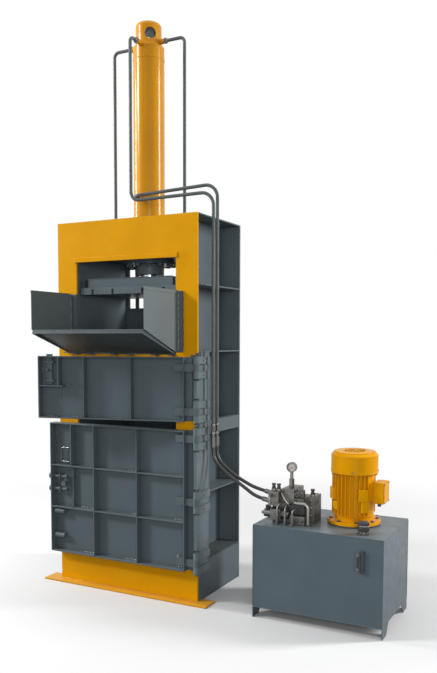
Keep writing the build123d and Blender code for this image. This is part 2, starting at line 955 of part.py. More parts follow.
# Lower door: three rows of cells between flats, with the bolts' guides in the latch column
bolt_slot_r = bolt_d / 2 + bolt_gap
guide_u = lower_door_end - bolt_guide_inset
lower_us = (door_start + door_rib_t, lower_door_end - door_rib_t)
with BuildPart(lower_plane) as lower_hinge_rib:
    block((door_start, lower_us[0]), rib_n, (lower_door_bottom, lower_door_top))
    strap_slots(lower_hinge_zs)
with BuildPart(lower_plane) as lower_end_rib:
    block((lower_us[1], lower_door_end), rib_n, (lower_door_bottom, lower_door_top))
    for bolt_z in bolt_zs:
        rod((lower_us[1], bolt_n, bolt_z), (lower_door_end, bolt_n, bolt_z), bolt_slot_r, mode=Mode.SUBTRACT)
with BuildPart(lower_plane) as bolt_guides:
    for bolt_z in bolt_zs:
        guide_reach = bolt_slot_r + door_rib_t
        block(
            (guide_u, guide_u + door_rib_t),
            (-skin_front, bolt_n + guide_reach),
            (bolt_z - guide_reach, bolt_z + guide_reach),
        )
        guide_ends = (guide_u, bolt_n, bolt_z), (guide_u + door_rib_t, bolt_n, bolt_z)
        rod(*guide_ends, bolt_slot_r, mode=Mode.SUBTRACT)
rib_rows = (lower_door_bottom, *row_rib_zs, lower_door_top - door_rib_t)
lower_flats = [flat(lower_plane, lower_us, rib_n, (rib_z, rib_z + door_rib_t)) for rib_z in rib_rows]
cell_rows = [(below + door_rib_t, above) for below, above in zip(rib_rows, rib_rows[1:])]
for cell_zs in cell_rows:
    for rib_u in lower_rib_us:
        lower_flats.append(flat(lower_plane, (rib_u, rib_u + door_rib_t), rib_n, cell_zs))
half_rib_u = lower_door_end - half_rib_inset
half_rib_us = (half_rib_u, half_rib_u + door_rib_t)
lower_flats.append(flat(lower_plane, half_rib_us, rib_n, cell_rows[2]))
lower_flats.append(flat(lower_plane, half_rib_us, (-skin_front, -skin_front + half_rib_h), cell_rows[1]))
lower_ribs = set_together([lower_hinge_rib.part, lower_end_rib.part, bolt_guides.part, *lower_flats])
save(lower_ribs, "lower_door_ribs")

# Lower latch: two round bolts tied by a flat bar, slid by a knob
with BuildPart(lower_plane) as lower_door_bolts:
    bolt_tip = lower_door_end - bolt_tip_inset
    bolt_tail = bolt_tip - bolt_length
    for bolt_z in bolt_zs:
        rod((bolt_tail, bolt_n, bolt_z), (bolt_tip, bolt_n, bolt_z), bolt_d / 2)
    block(
        (bolt_tail, bolt_tail + bolt_tie_w),
        (bolt_n - bolt_tie_t / 2, bolt_n + bolt_tie_t / 2),
        (min(bolt_zs) - bolt_tie_lap, max(bolt_zs) + bolt_tie_lap),
    )
    knob_u = bolt_tail + bolt_tie_w / 2
    knob_z = sum(bolt_zs) / 2
    rod((knob_u, bolt_n, knob_z), (knob_u, bolt_n + bolt_d / 2 + bolt_knob_h, knob_z), bolt_knob_d / 2)
save(lower_door_bolts.part, "lower_door_bolts")

# Keepers on the left of the frame: ears for the round bolts, a slotted plate for the flat one
ear_inner = pin_x - lower_door_end - keeper_gap
ear_outer = ear_inner - keeper_t
bolt_y = pin_y - bolt_n
keeper_h = bolt_d + 2 * keeper_wall
keeper_front = bolt_y - keeper_h / 2
with BuildPart() as bolt_keepers:
    for bolt_z in bolt_zs:
        with BuildSketch(Plane.XY.offset(bolt_z - keeper_h / 2)) as ear:
            with BuildLine():
                Polyline(
                    (-half_frame, keeper_arm_front),
                    (-half_frame, keeper_base_to),
                    (-half_frame - keeper_base_t, keeper_base_to),
                    (-half_frame - keeper_base_t, keeper_back),
                    (ear_outer, keeper_back),
                    (ear_outer, keeper_front),
                    (ear_inner, keeper_front),
                    (ear_inner, keeper_arm_front),
                    close=True,
                )
            make_face()
        extrude(ear.sketch, amount=keeper_h)
    nose_edges = bolt_keepers.edges().filter_by(Axis.X).group_by(Axis.Y)[0]
    fillet(nose_edges, radius=keeper_h / 2 - bolt_gap)
    for bolt_z in bolt_zs:
        rod((ear_outer, bolt_y, bolt_z), (ear_inner, bolt_y, bolt_z), bolt_slot_r, mode=Mode.SUBTRACT)
    slot_half_w = shoot_w / 2 + shoot_keeper_clear
    slot_half_t = shoot_t / 2 + shoot_keeper_clear
    slot_xs = (pin_x - shoot_u - slot_half_w, pin_x - shoot_u + slot_half_w)
    slot_ys = (pin_y - shoot_n - slot_half_t, pin_y - shoot_n + slot_half_t)
    keeper_zs = (shoot_top + shoot_keeper_gap, shoot_top + shoot_keeper_gap + shoot_keeper_t)
    block(
        (slot_xs[0] - shoot_keeper_wall, slot_xs[1] + shoot_keeper_inner_wall),
        (slot_ys[0] - shoot_keeper_wall, 0),
        keeper_zs,
    )
    block(slot_xs, slot_ys, keeper_zs, mode=Mode.SUBTRACT)
save(bolt_keepers.part, "bolt_keepers")

# Feed tray: a folded sheet that tilts on a pin along its rear edge.
# On this plane, local X runs out along the tray and local Y is up from its face.
tray_plane = Plane(
    origin=(0, tray_pin_y, tray_pin_z),
    x_dir=(0, -cos(tray_angle), sin(tray_angle)),
    z_dir=(-1, 0, 0),
)
tray_root = knuckle_r + tray_rear_gap
tray_bore_r = tray_pin_d / 2 + pin_gap
with BuildPart() as feed_tray:
    half_t = tray_t / 2
    with BuildSketch(tray_plane.offset(-tray_half_w)) as sheet:
        with BuildLine():
            Polyline(
                (tray_root, half_t),
                (tray_length, half_t),
                (tray_length, half_t - tray_lip),
                (tray_length - tray_t, half_t - tray_lip),
                (tray_length - tray_t, -half_t),
                (tray_root, -half_t),
                close=True,
            )
        make_face()
    extrude(sheet.sketch, amount=2 * tray_half_w)
    for wing_start in (-tray_half_w, tray_half_w - tray_t):
        with BuildSketch(tray_plane.offset(wing_start)) as wing:
            with BuildLine():
                Polyline(
                    (tray_root, half_t),
                    (tray_length, half_t),
                    (tray_length, half_t - tray_lip),
                    (tray_root, half_t - tray_flange_rear),
                    close=True,
                )
            make_face()
        extrude(wing.sketch, amount=tray_t)
    for knuckle_x in tray_knuckle_xs:
        with BuildSketch(tray_plane.offset(-knuckle_x - tray_knuckle_l / 2)) as knuckle:
            Circle(knuckle_r)
            with Locations((tray_root / 2, 0)):
                Rectangle(tray_root, tray_t)
            Circle(tray_bore_r, mode=Mode.SUBTRACT)
        extrude(knuckle.sketch, amount=tray_knuckle_l)
save(feed_tray.part, "feed_tray")

# Cheeks: upright sheets either side of the tray, which fold in over the window
cheek_root_y = cheek_pin_y - cheek_root_gap
tray_rise = tan(tray_angle)
tray_face_z = tray_pin_z + (tray_t / 2) / cos(tray_angle) + cheek_floor_gap
cheek_front_z = tray_face_z + (tray_pin_y - cheek_front_y) * tray_rise
cheek_foot_y = tray_pin_y - (cheek_root_z - tray_face_z) / tray_rise
knuckle_step = (cheek_top - cheek_bar_inset - cheek_root_z) / cheek_knuckles


def cheek(side):
    """One cheek, with its knuckles on the odd steps of the hinge."""
    middle = side * cheek_x
    with BuildPart() as sheet:
        side_profile(
            middle - cheek_t / 2,
            cheek_t,
            (
                (cheek_root_y, cheek_root_z),
                (cheek_foot_y, cheek_root_z),
                (cheek_front_y, cheek_front_z),
                (cheek_front_y, cheek_top),
                (cheek_root_y, cheek_top),
            ),
        )
        face = middle + side * cheek_t / 2
        block(
            sorted((face, face + side * cheek_hem_t)),
            (cheek_front_y, cheek_pin_y - cheek_hem_start),
            (cheek_top - cheek_hem_h, cheek_top),
        )
        for step in range(1, cheek_knuckles, 2):
            with BuildSketch(Plane.XY.offset(cheek_root_z + step * knuckle_step)) as knuckle:
                with Locations((middle, cheek_pin_y)):
                    Circle(cheek_knuckle_r)
                with Locations((middle, (cheek_pin_y + cheek_root_y) / 2)):
                    Rectangle(cheek_t, cheek_root_gap)
                with Locations((middle, cheek_pin_y)):
                    Circle(cheek_pin_d / 2 + pin_gap, mode=Mode.SUBTRACT)
            extrude(knuckle.sketch, amount=knuckle_step - cheek_knuckle_space)
    return sheet.part


save(cheek(-1), "left_cheek")
save(cheek(1), "right_cheek")

# Fixed halves of the hopper's hinges: arms for the tray, knuckled bars for the cheeks
bracket_shift = tray_knuckle_l / 2 + bracket_space
with BuildPart() as hopper_hinges:
    for knuckle_x in tray_knuckle_xs:
        for bracket_x in (knuckle_x - bracket_shift - bracket_l, knuckle_x + bracket_shift):
            with BuildSketch(Plane.YZ.offset(bracket_x)) as bracket:
                with Locations((tray_pin_y, tray_pin_z)):
                    Circle(knuckle_r)
                arm_front = tray_pin_y - knuckle_r
                with Locations((arm_front / 2, bracket_top - bracket_t / 2)):
                    Rectangle(-arm_front, bracket_t)
                with Locations((tray_pin_y, tray_pin_z)):
                    Circle(tray_pin_d / 2 + pin_gap / 2, mode=Mode.SUBTRACT)
            extrude(bracket.sketch, amount=bracket_l)
    bar_inner = cheek_x + cheek_knuckle_r + cheek_bar_gap
    for side in (-1, 1):
        bar_xs = sorted((side * bar_inner, side * (bar_inner + cheek_bar_w)))
        block(bar_xs, (cheek_pin_y, 0), (cheek_root_z, cheek_top - cheek_bar_inset))
        leaf_xs = sorted((side * (half_chamber + cheek_leaf_start), side * bar_inner))
        block(leaf_xs, (-cheek_leaf_t, 0), (cheek_root_z, cheek_top - cheek_bar_inset))
        for step in range(0, cheek_knuckles, 2):
            with BuildSketch(Plane.XY.offset(cheek_root_z + step * knuckle_step)) as knuckle:
                with Locations((side * cheek_x, cheek_pin_y)):
                    Circle(cheek_knuckle_r)
                web_x = side * (cheek_x + bar_inner) / 2
                with Locations((web_x, cheek_pin_y + cheek_knuckle_r / 2)):
                    Rectangle(bar_inner - cheek_x, cheek_knuckle_r)
                with Locations((side * cheek_x, cheek_pin_y)):
                    Circle(cheek_pin_d / 2 + pin_gap / 2, mode=Mode.SUBTRACT)
            extrude(knuckle.sketch, amount=knuckle_step - cheek_knuckle_space)
save(hopper_hinges.part, "hopper_hinges")

with BuildPart() as hopper_hinge_pins:
    tray_pin_half = max(tray_knuckle_xs) + bracket_shift + bracket_l + pin_tail
    rod((-tray_pin_half, tray_pin_y, tray_pin_z), (tray_pin_half, tray_pin_y, tray_pin_z), tray_pin_d / 2)
    for side in (-1, 1):
        pin_base = (side * cheek_x, cheek_pin_y, cheek_root_z)
        pin_end = (side * cheek_x, cheek_pin_y, cheek_top)
        rod(pin_base, pin_end, cheek_pin_d / 2)
save(hopper_hinge_pins.part, "hopper_hinge_pins")

# Cylinder: a thick tube through the head plate, with a gland below and a cap on top
with BuildPart() as cylinder_barrel:
    with BuildSketch(Plane.XY.offset(head_plate_level)):
        with Locations((0, cyl_y)):
            Circle(barrel_r)
            Circle(bore_r, mode=Mode.SUBTRACT)
    extrude(amount=barrel_top - head_plate_level)
    wall_middle = cyl_y - (barrel_r + bore_r) / 2
    rod((rod_port_x, wall_middle, rod_port_z), (rod_port_x, cyl_y - rod_port_out, rod_port_z), boss_d / 2)
save(cylinder_barrel.part, "cylinder_barrel")

with BuildPart() as cylinder_gland:
    gland_bore = rod_d / 2 + pin_gap
    turned(
        0,
        cyl_y,
        (
            (gland_bore, gland_bottom - gland_nose_l),
            (gland_nose_d / 2, gland_bottom - gland_nose_l),
            (gland_nose_d / 2, gland_bottom),
            (gland_flange_d / 2, gland_bottom),
            (gland_flange_d / 2, head_plate_level),
            (bore_r - pin_gap, head_plate_level),
            (bore_r - pin_gap, head_plate_level + gland_spigot_h),
            (gland_bore, head_plate_level + gland_spigot_h),
        ),
    )
    with BuildSketch(Plane.XY.offset(gland_bottom)) as bolt_heads:
        with Locations((0, cyl_y)):
            with PolarLocations(gland_flange_d / 2 - gland_bolt_edge, gland_bolts):
                RegularPolygon(gland_bolt_r, 6)
    extrude(bolt_heads.sketch, amount=-gland_bolt_h)
save(cylinder_gland.part, "cylinder_gland")

# Cap: a solid end with three port bosses and a round lifting eye bored through
eye_turn = radians(eye_turn_deg)
eye_direction = (sin(eye_turn), -cos(eye_turn), 0)
with BuildPart() as cylinder_cap:
    turned(
        0,
        cyl_y,
        (
            (0, barrel_top - cap_spigot_h),
            (bore_r - pin_gap, barrel_top - cap_spigot_h),
            (bore_r - pin_gap, barrel_top),
            (barrel_r, barrel_top),
            (barrel_r, cap_side_top),
            (eye_stub_d / 2, stub_bottom),
            (eye_stub_d / 2, eye_top),
            (0, eye_top),
        ),
    )
    top_edge = cylinder_cap.faces().sort_by(Axis.Z)[-1].edges()
    fillet(top_edge, radius=eye_edge_r)
    rod((head_pipe_x, cyl_y, head_port_z), (head_pipe_x, cyl_y - head_port_out, head_port_z), boss_d / 2)
    for side, port_z in ((1, right_port_z), (-1, left_port_z)):
        rod((0, cyl_y, port_z), (side * (barrel_r + boss_l), cyl_y, port_z), boss_d / 2)
    with Locations(Plane(origin=(0, cyl_y, eye_hole_z), z_dir=eye_direction)):
        Cylinder(eye_hole_d / 2, 2 * eye_stub_d, mode=Mode.SUBTRACT)
save(cylinder_cap.part, "cylinder_cap")

# Ram: piston, rod, bolted flange and the platen that presses the bale
with BuildPart() as piston:
    with BuildSketch(Plane.XY.offset(piston_top - piston_h)):
        with Locations((0, cyl_y)):
            Circle(bore_r - pin_gap)
    extrude(amount=piston_h)
save(piston.part, "piston")

with BuildPart() as piston_rod:
    with BuildSketch(Plane.XY.offset(rod_bottom)):
        with Locations((0, cyl_y)):
            Circle(rod_d / 2)
    extrude(amount=piston_top - piston_h - rod_bottom)
save(piston_rod.part, "piston_rod")

with BuildPart() as rod_flange:
    with BuildSketch(Plane.XY.offset(box_top)):
        with Locations((0, cyl_y)):
            Circle(rod_flange_d / 2)
    extrude(amount=rod_flange_t)
    with BuildSketch(Plane.XY.offset(rod_bottom)) as bolt_heads:
        with Locations((0, cyl_y)):
            with PolarLocations(rod_flange_d / 2 - rod_bolt_edge, rod_bolts):
                RegularPolygon(rod_bolt_r, 6)
    extrude(bolt_heads.sketch, amount=rod_bolt_h)
save(rod_flange.part, "rod_flange")

platen_half = half_chamber - platen_side_gap
with BuildPart() as platen_plate:
    block((-platen_half, platen_half), (platen_front, platen_back), (platen_bottom, platen_top))
    for slot_x in strap_slot_xs:
        block(
            (slot_x - strap_slot_w / 2, slot_x + strap_slot_w / 2),
            (platen_front, platen_back),
            (platen_bottom, platen_bottom + strap_slot_h),
            mode=Mode.SUBTRACT,
        )
save(platen_plate.part, "platen_plate")

# A stiff box on the platen: four walls, a cross of webs and a cover under the flange
box_half = platen_half - platen_box_inset
box_ys = (platen_front + platen_box_inset / 2, platen_back - platen_box_inset / 2)
with BuildPart() as platen_box:
    block((-box_half, box_half), box_ys, (platen_top, box_top))
    for cell_xs in ((-box_half, -platen_box_wall / 2), (platen_box_wall / 2, box_half)):
        for cell_ys in ((box_ys[0], cyl_y), (cyl_y, box_ys[1])):
            block(
                (cell_xs[0] + platen_box_wall, cell_xs[1] - platen_box_wall),
                (cell_ys[0] + platen_box_wall, cell_ys[1] - platen_box_wall),
                (platen_top, box_top - platen_box_wall),
                mode=Mode.SUBTRACT,
            )
save(platen_box.part, "platen_box")

with BuildPart() as guide_shoes:
    for side in (-1, 1):
        shoe_outer = half_chamber - shoe_gap
        shoe_xs = sorted((side * (shoe_outer - shoe_w), side * shoe_outer))
        for shoe_y in (platen_front + shoe_inset, platen_back - shoe_inset - shoe_l):
            block(shoe_xs, (shoe_y, shoe_y + shoe_l), (platen_top, platen_top + shoe_h))
save(guide_shoes.part, "guide_shoes")

# Steel pipes from the cylinder's ports to the unions beside the frame
head_pipe = bent_tube(
    (
        (head_pipe_x, cyl_y - head_port_out, head_port_z),
        (head_pipe_x, head_pipe_y, head_port_z),
        (head_pipe_x, head_pipe_y, head_run_z),
        (drop_x, head_pipe_y, head_run_z + run_rise),
        (drop_x, head_pipe_y, union_top),
    ),
    [port_bend, lower_bend, side_bend],
    pipe_r,
)
save(head_pipe, "head_pipe")

rod_pipe = bent_tube(
    (
        (rod_port_x, cyl_y - rod_port_out, rod_port_z),
        (rod_port_x, rod_pipe_y, rod_port_z),
        (drop_x, rod_pipe_y, rod_port_z + rod_run_rise),
        (drop_x, rod_pipe_y, union_top),
    ),
    [port_bend, side_bend],
    pipe_r,
)
save(rod_pipe, "rod_pipe")

side_union_z = head_plate_level + head_plate_t
with BuildPart() as side_pipes:
    for side, port_z in ((1, right_port_z), (-1, left_port_z)):
        route = (
            (side * (barrel_r + boss_l), cyl_y, port_z),
            (side * side_pipe_x, cyl_y, port_z),
            (side * side_pipe_x, cyl_y, side_union_z + union_h),
        )
        add(bent_tube(route, [port_bend], pipe_r))
save(side_pipes.part, "side_pipes")

with BuildPart() as pipe_unions:
    for drop_y in (head_pipe_y, rod_pipe_y):
        hexagon(drop_x, drop_y, union_bottom, union_r, union_h)
    for side in (-1, 1):
        hexagon(side * side_pipe_x, cyl_y, side_union_z, union_r, union_h)
save(pipe_unions.part, "pipe_unions")

# Two free hoses in upright planes, sagging from the unions to the block
hose_start_z = union_bottom - ferrule_neck_l - ferrule_l
pressure_route = (
    (drop_x, head_pipe_y, hose_start_z),
    (drop_x, head_pipe_y, 1225),
    (819, head_pipe_y, 1165),
    (879, head_pipe_y, 1108),
    (966, head_pipe_y, 1047),
    (1082, head_pipe_y, 978),
    (1172, head_pipe_y, 918),
    (hose_one_end[0], head_pipe_y, hose_one_end[1]),
)
return_route = (
    (drop_x, rod_pipe_y, hose_start_z),
    (drop_x, rod_pipe_y, 1227),
    (817, rod_pipe_y, 1168),
    (871, rod_pipe_y, 1114),
    (959, rod_pipe_y, 1056),
    (1057, rod_pipe_y, 1006),
    (1150, rod_pipe_y, 968),
    (hose_two_end[0], rod_pipe_y, hose_two_end[1]),
)


def hose(route, name):
    """A hose along its route, each arc as large as its two runs allow."""
    corners = [Vector(*point) for point in route]
    radii = []
    for before, corner, after in zip(corners, corners[1:], corners[2:]):
        run_in = corner - before
        run_out = after - corner
        half_turn = radians(run_in.get_angle(run_out)) / 2
        radii.append(hose_arc_share * min(run_in.length, run_out.length) / tan(half_turn))
    tube = bent_tube(route, radii, hose_d / 2)
    length = tube.volume / Circle(hose_d / 2, mode=Mode.PRIVATE).area
    print(name, "radii", [round(radius) for radius in radii], "length", round(length))
    save(tube, name)


hose(pressure_route, "pressure_hose")
hose(return_route, "return_hose")

# Crimped hose ends: below the unions, and into the block on the tank
with BuildPart() as hose_ends:
    for drop_y in (head_pipe_y, rod_pipe_y):
        rod((drop_x, drop_y, union_bottom), (drop_x, drop_y, union_bottom - ferrule_neck_l), ferrule_neck_r)
        rod((drop_x, drop_y, union_bottom - ferrule_neck_l), (drop_x, drop_y, hose_start_z), ferrule_r)
    nut_x = port_x0 - hose_nut_l
    for route in (pressure_route, return_route):
        hose_end = Vector(*route[-1])
        last_run = hose_end - Vector(*route[-2])
        seat = hose_end + last_run * ((nut_x + hose_nut_l / 2 - hose_end.X) / last_run.X)
        rod(tuple(hose_end), tuple(seat), ferrule_r)
        with BuildSketch(Plane.YZ.offset(nut_x)) as nut:
            with Locations((seat.Y, seat.Z)):
                RegularPolygon(hose_nut_r, 6)
        extrude(nut.sketch, amount=hose_nut_l)
save(hose_ends.part, "hose_ends")

# Oil tank: a folded sheet box with cut-out side feet
tank_left_inner = tank_x + tank_sheet
tank_right_inner = tank_right - tank_sheet
with BuildPart() as oil_tank:
    for panel_x in (tank_x, tank_right_inner):
        side_profile(
            panel_x,
            tank_sheet,
            (
                (tank_y, 0),
                (tank_y + tank_leg_w, 0),
                (tank_y + tank_leg_w + tank_leg_slope, tank_bottom),
                (tank_back - tank_leg_w - tank_leg_slope, tank_bottom),
                (tank_back - tank_leg_w, 0),
                (tank_back, 0),
                (tank_back, lid_bottom),
                (tank_y, lid_bottom),
            ),
        )
    for panel_y in (tank_y, tank_back - tank_sheet):
        block((tank_left_inner, tank_right_inner), (panel_y, panel_y + tank_sheet), (tank_bottom, lid_bottom))
    floor_z = tank_bottom + tank_floor_rise
    block((tank_left_inner, tank_right_inner), (tank_y, tank_back), (floor_z, floor_z + tank_sheet))
save(oil_tank.part, "oil_tank")

with BuildPart() as tank_lid:
    block((tank_x, tank_right), (tank_y, tank_back), (lid_bottom, tank_top))
    with BuildSketch(Plane.XY.offset(tank_top)) as collars:
        with Locations((motor_x, motor_y)):
            Circle(motor_ring_r)
    extrude(collars.sketch, amount=motor_ring_h)
    rod((neck_x, neck_y, tank_top), (neck_x, neck_y, tank_top + neck_h), neck_d / 2)
    rod((motor_x, motor_y, lid_bottom), (motor_x, motor_y, ring_top), motor_opening_r, mode=Mode.SUBTRACT)
    neck_bore = neck_d / 2 - tank_sheet
    rod((neck_x, neck_y, lid_bottom), (neck_x, neck_y, tank_top + neck_h), neck_bore, mode=Mode.SUBTRACT)
save(tank_lid.part, "tank_lid")

# Motor: a cast body with upright fins, corner pads and a flat seat for the terminal box
shaft_bore = shaft_d / 2 + bearing_gap
with BuildPart() as motor_body:
    turned(
        motor_x,
        motor_y,
        (
            (shaft_bore, ring_top),
            (motor_flange_r, ring_top),
            (motor_flange_r, ring_top + motor_flange_t),
            (motor_neck_r, ring_top + motor_flange_t),
            (motor_neck_r, body_bottom),
            (motor_core_r, body_bottom),
            (motor_core_r, body_top),
            (shaft_bore, body_top),
            (shaft_bore, body_top - motor_shield_t),
            (stator_r, body_top - motor_shield_t),
            (stator_r, body_bottom + motor_shield_t),
            (shaft_bore, body_bottom + motor_shield_t),
        ),
    )
    fin_angles = [360 * fin / fin_count for fin in range(fin_count)]
    with BuildSketch(Plane.XY.offset(body_bottom + fin_ends)) as fins:
        for fin_angle in fin_angles:
            if min(fin_angle, 360 - fin_angle) > terminal_fin_skip:
                with Locations(Location((motor_x, motor_y), fin_angle)):
                    with Locations(((motor_core_r + motor_fin_r) / 2 - fin_t / 2, 0)):
                        Rectangle(motor_fin_r - motor_core_r + fin_t, fin_t)
    extrude(fins.sketch, amount=motor_body_h - 2 * fin_ends)
    with BuildSketch(Plane.XY.offset(pad_z - pad_h / 2)) as pads:
        for pad_angle in pad_deg:
            with Locations(Location((motor_x, motor_y), pad_angle)):
                with Locations(((motor_neck_r + pad_r) / 2, 0)):
                    Rectangle(pad_r - motor_neck_r, pad_w)
    extrude(pads.sketch, amount=pad_h)
    seat_half = terminal_seat_w / 2
    seat_from = motor_x + (stator_r + motor_core_r) / 2
    block(
        (seat_from, motor_x + motor_fin_r),
        (motor_y - seat_half, motor_y + seat_half),
        (terminal_z + terminal_corner, terminal_z + terminal_h - terminal_corner),
    )
save(motor_body.part, "motor_body")

# Fan cowl: a drawn cup with a ringed grille in its top
cowl_top = body_top + cowl_h
with BuildPart() as motor_cowl:
    turned(
        motor_x,
        motor_y,
        (
            (cowl_r - cowl_wall, body_top),
            (cowl_r, body_top),
            (cowl_r, cowl_top - cowl_chamfer),
            (cowl_r - cowl_chamfer, cowl_top),
            (0, cowl_top),
            (0, cowl_top - cowl_wall),
            (cowl_r - cowl_chamfer - cowl_wall / 2, cowl_top - cowl_wall),
            (cowl_r - cowl_wall, cowl_top - cowl_chamfer - cowl_wall / 2),
        ),
    )
    with BuildSketch(Plane.XY.offset(cowl_top)) as slots:
        with Locations((motor_x, motor_y)):
            for inner_r, outer_r in reversed(list(zip(cowl_ring_rs, cowl_ring_rs[1:]))):
                Circle(outer_r - cowl_ring_w)
                Circle(inner_r, mode=Mode.SUBTRACT)
            Rectangle(2 * cowl_r, cowl_spoke_w, mode=Mode.SUBTRACT)
            Rectangle(cowl_spoke_w, 2 * cowl_r, mode=Mode.SUBTRACT)
    extrude(slots.sketch, amount=-cowl_wall, mode=Mode.SUBTRACT)
    with BuildSketch(Plane.XY.offset(body_top)) as lugs:
        with Locations((motor_x, motor_y)):
            with PolarLocations((motor_core_r + cowl_r - cowl_wall) / 2, cowl_lugs, cowl_lug_deg):
                Rectangle(cowl_r - motor_core_r, cowl_lug_w)
    extrude(lugs.sketch, amount=cowl_wall)
save(motor_cowl.part, "motor_cowl")

# Terminal box: a cast box with a lip round its cover
with BuildPart() as terminal_box:
    box_x0 = motor_x + motor_fin_r
    box_x1 = box_x0 + terminal_depth
    block(
        (box_x0, box_x1),
        (motor_y - terminal_w / 2, motor_y + terminal_w / 2),
        (terminal_z, terminal_z + terminal_h),
    )
    fillet(terminal_box.edges().filter_by(Axis.X), radius=terminal_corner)
    outer_face = terminal_box.faces().sort_by(Axis.X)[-1]
    cover = offset(outer_face, amount=-terminal_cover_edge, mode=Mode.PRIVATE)
    extrude(cover, amount=terminal_cover_t)
save(terminal_box.part, "terminal_box")

# Rotor: the shaft with its core, the coupling half below and the fan above
fan_bottom = body_top + fan_lift
with BuildPart() as motor_rotor:
    rod(
        (motor_x, motor_y, lid_bottom - coupling_h),
        (motor_x, motor_y, fan_bottom + fan_h),
        shaft_d / 2,
    )
    rod((motor_x, motor_y, lid_bottom - coupling_h), (motor_x, motor_y, lid_bottom), coupling_r)
    core_ends = (body_bottom + 2 * motor_shield_t, body_top - 2 * motor_shield_t)
    rod((motor_x, motor_y, core_ends[0]), (motor_x, motor_y, core_ends[1]), stator_r - rotor_gap)
    rod((motor_x, motor_y, fan_bottom), (motor_x, motor_y, fan_bottom + fan_h), fan_hub_r)
    rod((motor_x, motor_y, fan_bottom), (motor_x, motor_y, fan_bottom + fan_blade_t), fan_r)
    with BuildSketch(Plane.XY.offset(fan_bottom)) as blades:
        with Locations((motor_x, motor_y)):
            with PolarLocations((fan_hub_r + fan_r) / 2 - fan_blade_t, fan_blades):
                Rectangle(fan_r - fan_hub_r + fan_blade_t, fan_blade_t)
    extrude(blades.sketch, amount=fan_h)
save(motor_rotor.part, "motor_rotor")

# Pump in its bell housing, hung under the lid, with a suction pipe
with BuildPart() as pump:
    bell_bottom = lid_bottom - bell_h
    turned(
        motor_x,
        motor_y,
        (
            (bell_r - bell_wall, lid_bottom),
            (bell_r, lid_bottom),
            (pump_r + bell_wall, bell_bottom),
            (pump_r, bell_bottom),
            (pump_r, bell_bottom - pump_h),
            (suction_r, bell_bottom - pump_h),
            (suction_r, bell_bottom - pump_h - suction_h),
            (0, bell_bottom - pump_h - suction_h),
            (0, bell_bottom + bell_wall),
            (pump_r, bell_bottom + bell_wall),
        ),
    )
save(pump.part, "pump")

# Filler cap: a ribbed cup that turns on the neck
with BuildPart() as filler_cap:
    cap_z1 = neck_top + cap_turn_gap + cap_top_t
    cap_z0 = cap_z1 - cap_h
    turned(
        neck_x,
        neck_y,
        (
            (0, cap_z1 - cap_top_t),
            (neck_d / 2 + cap_turn_gap, cap_z1 - cap_top_t),
            (neck_d / 2 + cap_turn_gap, cap_z0),
            (cap_d / 2, cap_z0),
            (cap_d / 2, cap_z1),
            (0, cap_z1),
        ),
    )
    with BuildSketch(Plane.XY.offset(cap_z0)) as grips:
        with Locations((neck_x, neck_y)):
            with PolarLocations(cap_d / 2, cap_ribs):
                Circle(cap_rib_r)
            Circle(cap_d / 2 - cap_rib_r, mode=Mode.SUBTRACT)
    extrude(grips.sketch, amount=cap_h - cap_rib_r)
save(filler_cap.part, "filler_cap")

with BuildPart() as level_gauge:
    block(
        (sight_x - sight_w / 2, sight_x + sight_w / 2),
        (tank_y - sight_t, tank_y),
        (sight_top - sight_h, sight_top),
    )
    fillet(level_gauge.edges().filter_by(Axis.Y), radius=sight_corner)
    sight_front = tank_y - sight_t
    for bolt_z in (sight_top - sight_bolt_inset, sight_top - sight_h + sight_bolt_inset):
        rod((sight_x, sight_front, bolt_z), (sight_x, sight_front - sight_bolt_h, bolt_z), sight_bolt_r)
    block(
        (sight_x - sight_glass_w / 2, sight_x + sight_glass_w / 2),
        (sight_front, sight_front + sight_glass_depth),
        (sight_top - sight_h + sight_glass_inset, sight_top - sight_glass_inset),
        mode=Mode.SUBTRACT,
    )
save(level_gauge.part, "level_gauge")

# Manifold: a stepped steel block with the port block on its left shoulder
knob_seats = (
    (port_x0 + knob_insets[0], block_y0, port_z1),
    (port_x0 + knob_insets[1], block_y0, port_z1),
    (side_knob_x, side_knob_y, side_top),
)
with BuildPart() as manifold_block:
    block((foot_x0, main_x0), (block_y0, block_y1), (tank_top, port_z0))
    block((main_x0, main_x1), (block_y0, block_y1), (tank_top, main_top))
    block((main_x1, step_x1), (block_y0, block_y1), (tank_top, step_top))
    block((step_x1, side_x1), (side_y0, block_y1), (tank_top, side_top))
    block((base_x0, base_x1), (block_y0 - base_block_out, block_y0), (tank_top, base_top))
    block((port_x0, main_x0), (block_y0 - port_block_out, block_y0 + port_block_in), (port_z0, port_z1))
    for x, y, seat_z in knob_seats:
        rod((x, y, seat_z), (x, y, seat_z + knob_seat_h), knob_seat_r)
        rod(
            (x, y, seat_z + knob_seat_h - knob_stem_l),
            (x, y, seat_z + knob_seat_h),
            knob_stem_d / 2 + pin_gap,
            mode=Mode.SUBTRACT,
        )
save(manifold_block.part, "manifold_block")


def adjusting_knob(x, y, seat_z):
    """A waisted hand knob on a stem that turns in its seat."""
    foot = seat_z + knob_seat_h + knob_gap
    top = foot + knob_h
    third = knob_h / 3
    with BuildPart() as knob:
        turned(
            x,
            y,
            (
                (0, foot - knob_stem_l),
                (knob_stem_d / 2, foot - knob_stem_l),
                (knob_stem_d / 2, foot),
                (knob_r, foot),
                (knob_r, foot + third),
                (knob_waist_r, foot + third),
                (knob_waist_r, top - third),
                (knob_r, top - third),
                (knob_r, top),
                (0, top),
            ),
        )
    return knob.part


for seat, name in zip(knob_seats, ("relief_knob_left", "relief_knob_right", "needle_valve_knob")):
    save(adjusting_knob(*seat), name)

